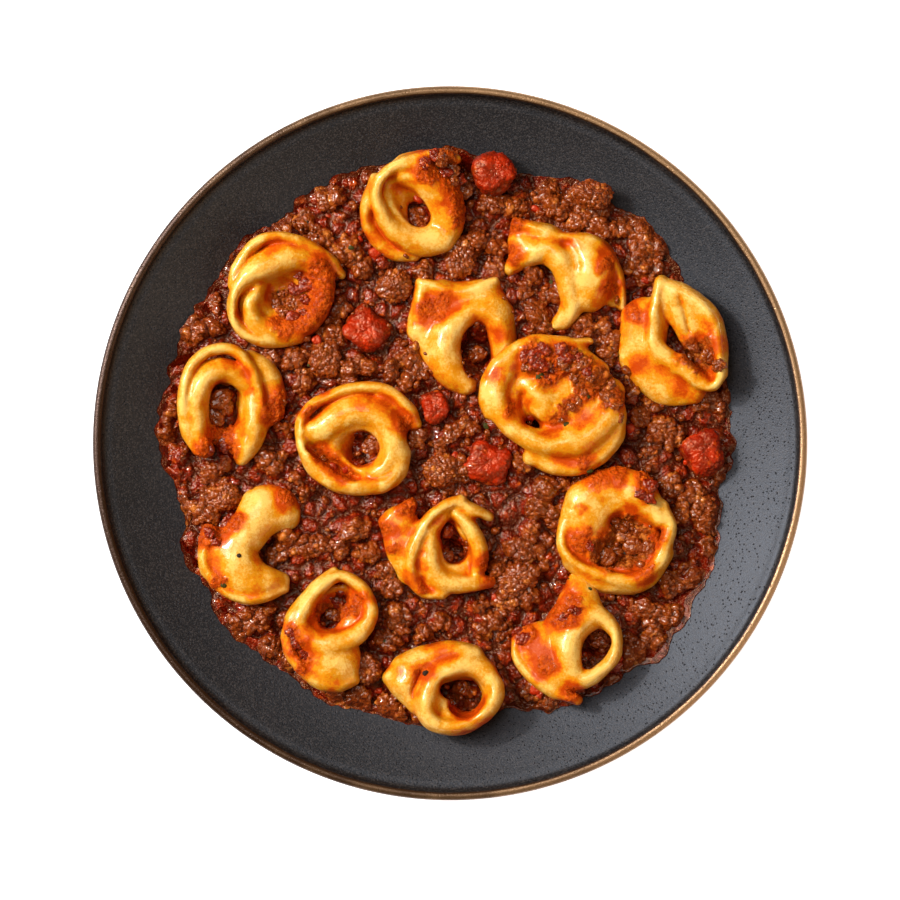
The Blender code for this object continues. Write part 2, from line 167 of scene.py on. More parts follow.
# A mesh from points in millimetres, four-sided faces and triangles, filled as whole arrays.
def fillMesh(name, points, quads, triangles=np.zeros((0, 3), int)):
    mesh = bpy.data.meshes.new(name)
    corners = np.concatenate([quads.ravel(), triangles.ravel()]).astype(np.int32)
    sizes = np.concatenate([np.full(len(quads), 4), np.full(len(triangles), 3)])
    mesh.vertices.add(len(points))
    mesh.vertices.foreach_set("co", (points * mm).astype(np.float32).ravel())
    mesh.loops.add(len(corners))
    mesh.loops.foreach_set("vertex_index", corners)
    mesh.polygons.add(len(sizes))
    mesh.polygons.foreach_set("loop_start", np.concatenate([[0], np.cumsum(sizes)[:-1]]).astype(np.int32))
    mesh.update(calc_edges=True)
    mesh.shade_smooth()
    return mesh


# Puts a finished mesh in the scene as a piece that rides on the food and stands for its nodes.
def addPiece(name, mesh, finish, nodes=(), values=None):
    for label, numbers in (values or {}).items():
        mesh.attributes.new(label, "FLOAT", "POINT").data.foreach_set("value", numbers.astype(np.float32))
    piece = bpy.data.objects.new(name, mesh)
    bpy.context.scene.collection.objects.link(piece)
    mesh.materials.append(finish)
    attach(piece, "root")
    if nodes:
        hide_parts(*nodes)
    return piece


# Lowest and highest corner of a CAD node, in millimetres.
def nodeBox(node):
    low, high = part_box(node)
    return np.array(low) / mm, np.array(high) / mm


# Materials. A Wire is one socket, on which arithmetic adds Math nodes.

class Wire:
    def __init__(self, sheet, socket):
        self.sheet, self.socket = sheet, socket

    def sum(self, operation, *others):
        return self.sheet.add("ShaderNodeMath", {"operation": operation}, dict(enumerate((self, *others))))

    def __add__(self, other): return self.sum("ADD", other)
    def __radd__(self, other): return self.sum("ADD", other)
    def __sub__(self, other): return self.sum("SUBTRACT", other)
    def __rsub__(self, other): return self.sum("MULTIPLY_ADD", -1.0, other)
    def __mul__(self, other): return self.sum("MULTIPLY", other)
    def __rmul__(self, other): return self.sum("MULTIPLY", other)

    def clamped(self):
        return self.sheet.add("ShaderNodeClamp", {}, {0: self})

    # 0 up to the low value, 1 from the high value on, with a smooth rise between.
    def between(self, low, high):
        return self.sheet.add("ShaderNodeMapRange", {"interpolation_type": "SMOOTHSTEP"},
                              {0: self, 1: low, 2: high})


class Finish:
    def __init__(self, name, **constants):
        self.material = bpy.data.materials.new(name)
        self.material.use_nodes = True
        self.tree = self.material.node_tree
        self.shader = self.tree.nodes["Principled BSDF"]
        for label, value in constants.items():
            self.shader.inputs[label.replace("_", " ")].default_value = value
        place = self.add("ShaderNodeTexCoord", {}, {}, "Object")
        self.place = self.vector("SCALE", {0: place, "Scale": 1 / mm})  # in millimetres

    # Adds a node: its settings first, then the values or wires of its sockets. Gives one of its outputs.
    def add(self, kind, settings, sockets, output=0):
        node = self.tree.nodes.new(kind)
        for label, value in settings.items():
            setattr(node, label, value)
        for label, value in sockets.items():
            if isinstance(value, Wire):
                self.tree.links.new(value.socket, node.inputs[label])
            else:
                node.inputs[label].default_value = value
        return Wire(self, node.outputs[output])

    def vector(self, operation, sockets, output=0):
        return self.add("ShaderNodeVectorMath", {"operation": operation}, sockets, output)

    # The first colour where the share is 0 and the second where it is 1.
    def blend(self, share, first, second):
        colours = [(*c, 1) if isinstance(c, tuple) else c for c in (first, second)]
        return self.add("ShaderNodeMix", {"data_type": "RGBA"}, {0: share, 6: colours[0], 7: colours[1]}, 2)

    # Cloudy noise about as fine as size millimetres, from 0 to 1.
    def cloud(self, size, detail=2.0, rough=0.5):
        sockets = {"Vector": self.place, "Scale": 1 / size, "Detail": detail, "Roughness": rough}
        return self.add("ShaderNodeTexNoise", {}, sockets)

    # Distance to the middle of the nearest of random cells about this size.
    def cells(self, size, feature="F1"):
        sockets = {"Vector": self.place, "Scale": 1 / size}
        return self.add("ShaderNodeTexVoronoi", {"feature": feature}, sockets)

    def attributes(self, *labels):
        return [self.add("ShaderNodeAttribute", {"attribute_name": label}, {}, "Fac") for label in labels]

    def use(self, socket, value):
        self.tree.links.new(value.socket, self.shader.inputs[socket])

    # Depth is in millimetres.
    def bump(self, height, depth, strength=1.0):
        sockets = {"Height": height, "Distance": depth * mm, "Strength": strength}
        self.use("Normal", self.add("ShaderNodeBump", {}, sockets))


# Dark stone-blue glaze with pin-prick specks and a bare bronze rim, told apart by the distance from the axis.
# The rim's bronze is darker towards the left and the bottom as painted shade, broken up by noise.
glaze = {"dark": (0.0035, 0.0022, 0.0012), "pale": (0.0075, 0.0055, 0.0042), "speck": (0.0015, 0.001, 0.0007),
         "mist": (0.044, 0.037, 0.034), "bronze": (0.35, 0.205, 0.100), "bronzeDark": (0.05, 0.020, 0.007),
         "bronzeShaded": (0.042, 0.017, 0.004), "shadedSide": (0.0090, 0.0018, 0), "rimStart": 112.3}


def glazeFinish():
    sheet = Finish("speckled_glaze", Specular_IOR_Level=0.64, Specular_Tint=(0.71, 0.80, 1.0, 1.0))
    flat = sheet.vector("MULTIPLY", {0: sheet.place, 1: (1, 1, 0)})
    radius = sheet.vector("LENGTH", {0: flat}, "Value")
    tone = sheet.blend(sheet.cloud(30, 3).between(0.35, 0.7), glaze["dark"], glaze["pale"])
    fine = sheet.cloud(0.55, 3, 0.7)
    tone = sheet.blend(fine.between(0.5, 0.62) * 0.75, tone, glaze["mist"])
    tone = sheet.blend(fine.between(0.46, 0.38), tone, glaze["speck"])
    specks = sheet.cells(1.2)
    pits = specks.between(0.24, 0.12)
    tone = sheet.blend(pits, tone, glaze["speck"])
    wobble = (sheet.cloud(14, 2) - 0.5) * 0.5
    rim = (radius + wobble).between(glaze["rimStart"] - 0.1, glaze["rimStart"] + 0.2)
    # Painted shade on the rim: the bronze darkens towards the left and the bottom, mottled by noise.
    side = sheet.vector("DOT_PRODUCT", {0: sheet.place, 1: glaze["shadedSide"]}, "Value")
    litShare = (side + (sheet.cloud(9, 3) - 0.5) * 1.2).between(-0.9, 0.8)
    shadedBronze = sheet.blend(litShare, glaze["bronzeShaded"], glaze["bronze"])
    bronze = sheet.blend((radius + wobble).between(glaze["rimStart"] + 0.25, glaze["rimStart"] + 0.6),
                         glaze["bronzeDark"], shadedBronze)
    sheet.use("Base Color", sheet.blend(rim, tone, bronze))
    sheet.use("Roughness", 0.35 + fine * 0.27 + pits * 0.5 - rim * 0.18)
    sheet.use("Metallic", rim * 0.55)
    sheet.bump(fine + specks.between(0.0, 0.3) * 0.8, 0.11)
    return sheet.material


# Ragu colour shared by the heap, the lumps and what clings to the pasta: browned mince or red sauce by the
# meat share, each grain a little lighter or darker by its tint, and painted shade in the gaps between grains
# and lumps. Fat and orange oil show on a few grains, and the gloss is in the coat, which the gaps have less
# of.
# gap is the colour of painted shade in creases and crevices.
ragu = {"meat": (0.35, 0.064, 0.004), "meatDeep": (0.12, 0.010, 0.001), "red": (0.34, 0.017, 0.001),
        "redDeep": (0.10, 0.0028, 0.0004), "gap": (0.042, 0.0030, 0.0004), "fat": (0.72, 0.24, 0.035),
        "orange": (0.70, 0.115, 0.004)}


def raguColour(sheet, meat, gap, tint, bright=0.0, reds=(ragu["redDeep"], ragu["red"])):
    mottle = (tint * 0.75 + (sheet.cloud(1.2, 3) - 0.3) * 0.6).clamped()
    brown = sheet.blend(mottle, ragu["meatDeep"], ragu["meat"])
    brown = sheet.blend(tint.between(0.74, 1.0) * 0.55, brown, ragu["fat"])
    red = sheet.blend(mottle, *reds)
    red = sheet.blend(tint.between(0.7, 1.0) * 0.6, red, ragu["orange"])
    red = sheet.blend(sheet.cloud(1.8, 3).between(0.35, 0.65) * bright, red, ragu["orange"])
    share = (meat + (sheet.cloud(2.4, 2) - 0.5) * 0.7).between(0.25, 0.75)
    # Painted shade: the colour darkens towards the gap colour in the creases between grains and in crevices.
    return sheet.blend(gap * 0.92, sheet.blend(share, red, brown), ragu["gap"])


def raguFinish():
    sheet = Finish("ragu", Coat_Roughness=0.05, Specular_IOR_Level=0.42, Subsurface_Weight=0.04,
                   Subsurface_Scale=0.001, Specular_Tint=(1.0, 0.56, 0.27, 1.0))
    meat, gap, tint = sheet.attributes("meat", "gap", "tint")
    sheet.use("Base Color", raguColour(sheet, meat, gap, tint))
    grit = sheet.cloud(0.5, 3, 0.6)
    sheet.use("Roughness", 0.13 + meat * 0.06 + grit * 0.12)
    sheet.use("Coat Weight", (0.6 + meat * 0.3) * (1 - gap * 0.7))
    sheet.bump(grit * 0.7 - sheet.cells(0.85, feature="SMOOTH_F1"), 0.4)
    return sheet.material


# Diced tomato: red, paler where the flesh shows, and as ragu where its meat share is high.
tomatoColours = {"skin": (0.46, 0.020, 0.001), "deep": (0.20, 0.005, 0.0005), "flesh": (0.70, 0.11, 0.010)}


def tomatoFinish():
    sheet = Finish("tomato", Coat_Weight=0.15, Coat_Roughness=0.06, Specular_IOR_Level=0.6,
                   Subsurface_Weight=0.1, Subsurface_Scale=0.002, Specular_Tint=(1.0, 0.55, 0.28, 1.0))
    meat, gap, tint = sheet.attributes("meat", "gap", "tint")
    tone = sheet.blend(sheet.cloud(4, 3).between(0.3, 0.7), tomatoColours["deep"], tomatoColours["skin"])
    tone = sheet.blend(sheet.cloud(1.3, 2).between(0.62, 0.8) * 0.5, tone, tomatoColours["flesh"])
    sauced = (meat + (sheet.cloud(3.0, 3) - 0.5) * 1.4).between(0.3, 0.75)
    sheet.use("Base Color", sheet.blend(sauced, tone, raguColour(sheet, meat * 0.4, gap, tint)))
    grit = sheet.cloud(0.6, 3, 0.6)
    sheet.use("Roughness", 0.24 + grit * 0.2)
    sheet.bump(grit + sheet.cells(1.0) * -0.7, 0.22)
    return sheet.material


# Fresh egg pasta: pale on ridges and up-facing parts as painted light, deeper gold to orange where sauce and
# oil stain it, in creases as sauce and painted shade, on steep sides as painted shade, and ragu where it is
# covered.
dough = {"pale": (0.81, 0.52, 0.125), "gold": (0.68, 0.262, 0.005), "orange": (0.62, 0.112, 0.002),
         "stain": (0.44, 0.036, 0.001), "speck": (0.50, 0.15, 0.008), "sauce": (0.52, 0.056, 0.001),
         "sauceDeep": (0.20, 0.009, 0.0005)}


def doughFinish():
    sheet = Finish("egg_pasta", Coat_Roughness=0.13, Specular_IOR_Level=0.2, Subsurface_Weight=0.16,
                   Subsurface_Scale=0.0018, Specular_Tint=(1.0, 0.64, 0.28, 1.0))
    sheet.shader.inputs["Subsurface Radius"].default_value = (1.0, 0.55, 0.2)
    film, cover, meat, tint, gap = sheet.attributes("film", "cover", "meat", "tint", "gap")
    streak = (sheet.cloud(5, 4, 0.6) - 0.5) * 1.3 + (sheet.cloud(0.9, 4, 0.65) - 0.5) * 1.3
    # Pale, gold, orange and stain follow this mask: real sauce and oil stain, with crests paler as painted
    # light and creases and steep sides deeper as painted shade.
    stainShadeStreak = film + streak
    tone = sheet.blend(stainShadeStreak.between(-0.3, 0.42), dough["pale"], dough["gold"])
    tone = sheet.blend(stainShadeStreak.between(0.36, 0.9), tone, dough["orange"])
    tone = sheet.blend(stainShadeStreak.between(0.85, 1.3) * 0.85, tone, dough["stain"])
    freckle = sheet.cells(0.9).between(0.2, 0.06) * sheet.cloud(4, 3).between(0.4, 0.6)
    tone = sheet.blend(freckle * 0.5, tone, dough["speck"])
    covered = (cover + (sheet.cloud(1.1, 3) - 0.5) * 0.9).between(0.15, 0.85)
    sauce = raguColour(sheet, meat, gap * 0.5, tint * 0.6 + 0.35, 0.5, (dough["sauceDeep"], dough["sauce"]))
    sheet.use("Base Color", sheet.blend(covered, tone, sauce))
    pores = sheet.cloud(0.45, 3, 0.65)
    grit = sheet.cloud(0.55, 3, 0.6) - sheet.cells(0.85, feature="SMOOTH_F1")
    sheet.use("Roughness", 0.27 + pores * 0.22 - film * 0.04 - covered * 0.04)
    sheet.use("Coat Weight", (0.7 - film.clamped() * 0.56) * (1 - covered * 0.6))
    sheet.bump(pores * 0.7 + sheet.cloud(1.2, 4, 0.6) * 0.6 + covered * grit * 2.0, 0.26)
    return sheet.material


# Herb and pepper: two colours in clouds of this size, dull and finely uneven.
def plainFinish(name, colours, rough, size):
    sheet = Finish(name, Specular_IOR_Level=0.12)
    sheet.use("Base Color", sheet.blend(sheet.cloud(size, 3).between(0.3, 0.7), *colours))
    sheet.use("Roughness", rough + sheet.cloud(size, 2) * 0.2)
    sheet.bump(sheet.cloud(size * 0.5, 2), 0.1, 0.6)
    return sheet.material


finishes = {"glaze": glazeFinish(), "ragu": raguFinish(), "tomato": tomatoFinish(), "dough": doughFinish(),
            "herb": plainFinish("herb", ((0.020, 0.018, 0.003), (0.070, 0.060, 0.008)), 0.45, 0.6),
            "pepper": plainFinish("pepper", ((0.006, 0.005, 0.004), (0.05, 0.03, 0.018)), 0.5, 0.3)}
print("finishes made")


# The plate: its inside is flat to the floor's edge and then rises as a power of the way to the rim. foot is
# the outer and inner radius of its foot ring and the height of the recess inside it.
plateLow, plateHigh = nodeBox("plate")
plate = {"radius": (plateHigh[0] - plateLow[0]) / 2, "floorRadius": 60, "floorHeight": 8, "rise": 16.5,
         "curve": 1.8, "wall": 4.5, "lip": 1.5, "foot": (63, 56, 3), "around": 288}


def plateInside(radius):
    out = np.clip((radius - plate["floorRadius"]) / (plate["radius"] - plate["floorRadius"]), 0, None)
    return plate["floorHeight"] + plate["rise"] * out ** plate["curve"]


# The profile runs along the inside, with a fine groove before the lip, round the lip, down the outside to the
# foot ring and in below, and is turned about the upright axis.
def buildPlate():
    lip, rim = plate["lip"], plate["radius"]
    lipMiddle = (rim - lip, plateInside(rim - 2 * lip))
    insideRadius = np.concatenate([np.linspace(0.6, 56, 22), np.linspace(58, rim - 2 * lip - 1.2, 46)])
    groove = 0.35 * np.exp(-((insideRadius - (rim - 2 * lip - 1.3)) / 0.7) ** 2)
    inside = np.stack([insideRadius, plateInside(insideRadius) - groove], -1)
    bend = np.radians(np.linspace(180, -62, 24))
    edge = np.stack([lipMiddle[0] + lip * np.cos(bend), lipMiddle[1] + lip * np.sin(bend) + 0.05], -1)
    outsideRadius = np.linspace(rim - 4.6, 66, 34)
    outside = np.stack([outsideRadius, plateInside(outsideRadius) - plate["wall"]], -1)
    footOut, footIn, recess = plate["foot"]
    foot = [(64.4, 3.0), (63.6, 2.2), (63.2, 1.2), (footOut - 0.2, 0.35), (footOut - 1, 0), (footIn + 1, 0),
            (footIn + 0.2, 0.35), (footIn - 0.4, 1.4), (footIn - 1, recess - 0.3), (footIn - 2.4, recess)]
    under = np.stack([np.linspace(50, 0.6, 8), np.full(8, float(recess))], -1)
    profile = np.vstack([inside, edge, outside, foot, under])
    turn = np.arange(plate["around"]) / plate["around"] * fullTurn
    radius, height = profile[:, :1], profile[:, 1:]
    warp = 0.12 * np.sin(2 * turn + 0.8) + 0.07 * np.sin(3 * turn + 2.1)  # as a hand-thrown wall has
    lift = height + warp * smoothStep((radius - 60) / 50)
    rings = np.stack([radius * np.cos(turn), radius * np.sin(turn), lift], -1).reshape(-1, 3)
    top, bottom = len(rings), len(rings) + 1
    points = np.vstack([rings, (0, 0, plate["floorHeight"]), (0, 0, recess)])
    count = plate["around"]
    first, last = np.arange(count), np.arange(count) + (len(profile) - 1) * count
    shape = (points, gridFaces(len(profile), count, wrapColumns=True),
             np.vstack([fanFaces(top, first)[:, ::-1], fanFaces(bottom, last)]))
    addPiece("dish", fillMesh("dish", *joinShapes([shape])), finishes["glaze"], ["plate"])


buildPlate()
print("plate made")


# Rows of numbers from a text: commas part the rows and spaces the numbers.
def readRows(text):
    return [tuple(float(number) for number in row.split()) for row in text.split(",")]


# Each tortellino's shape from the table below. A line is a name, a colon and rows, and after a comma at its
# end it goes on in the next line.
def readTortellini(text):
    shapes, shape = {}, {}
    for line in text.replace(",\n", ",").strip().splitlines():
        label, rows = line.split(":")
        kind, *value = label.split()
        if kind == "tortellino":
            shape = shapes[int(value[0])] = {"strokes": []}
        elif value:
            shape["strokes"].append((kind, float(value[0]), readRows(rows)))
        else:
            shape[kind] = readRows(rows)
    return shapes
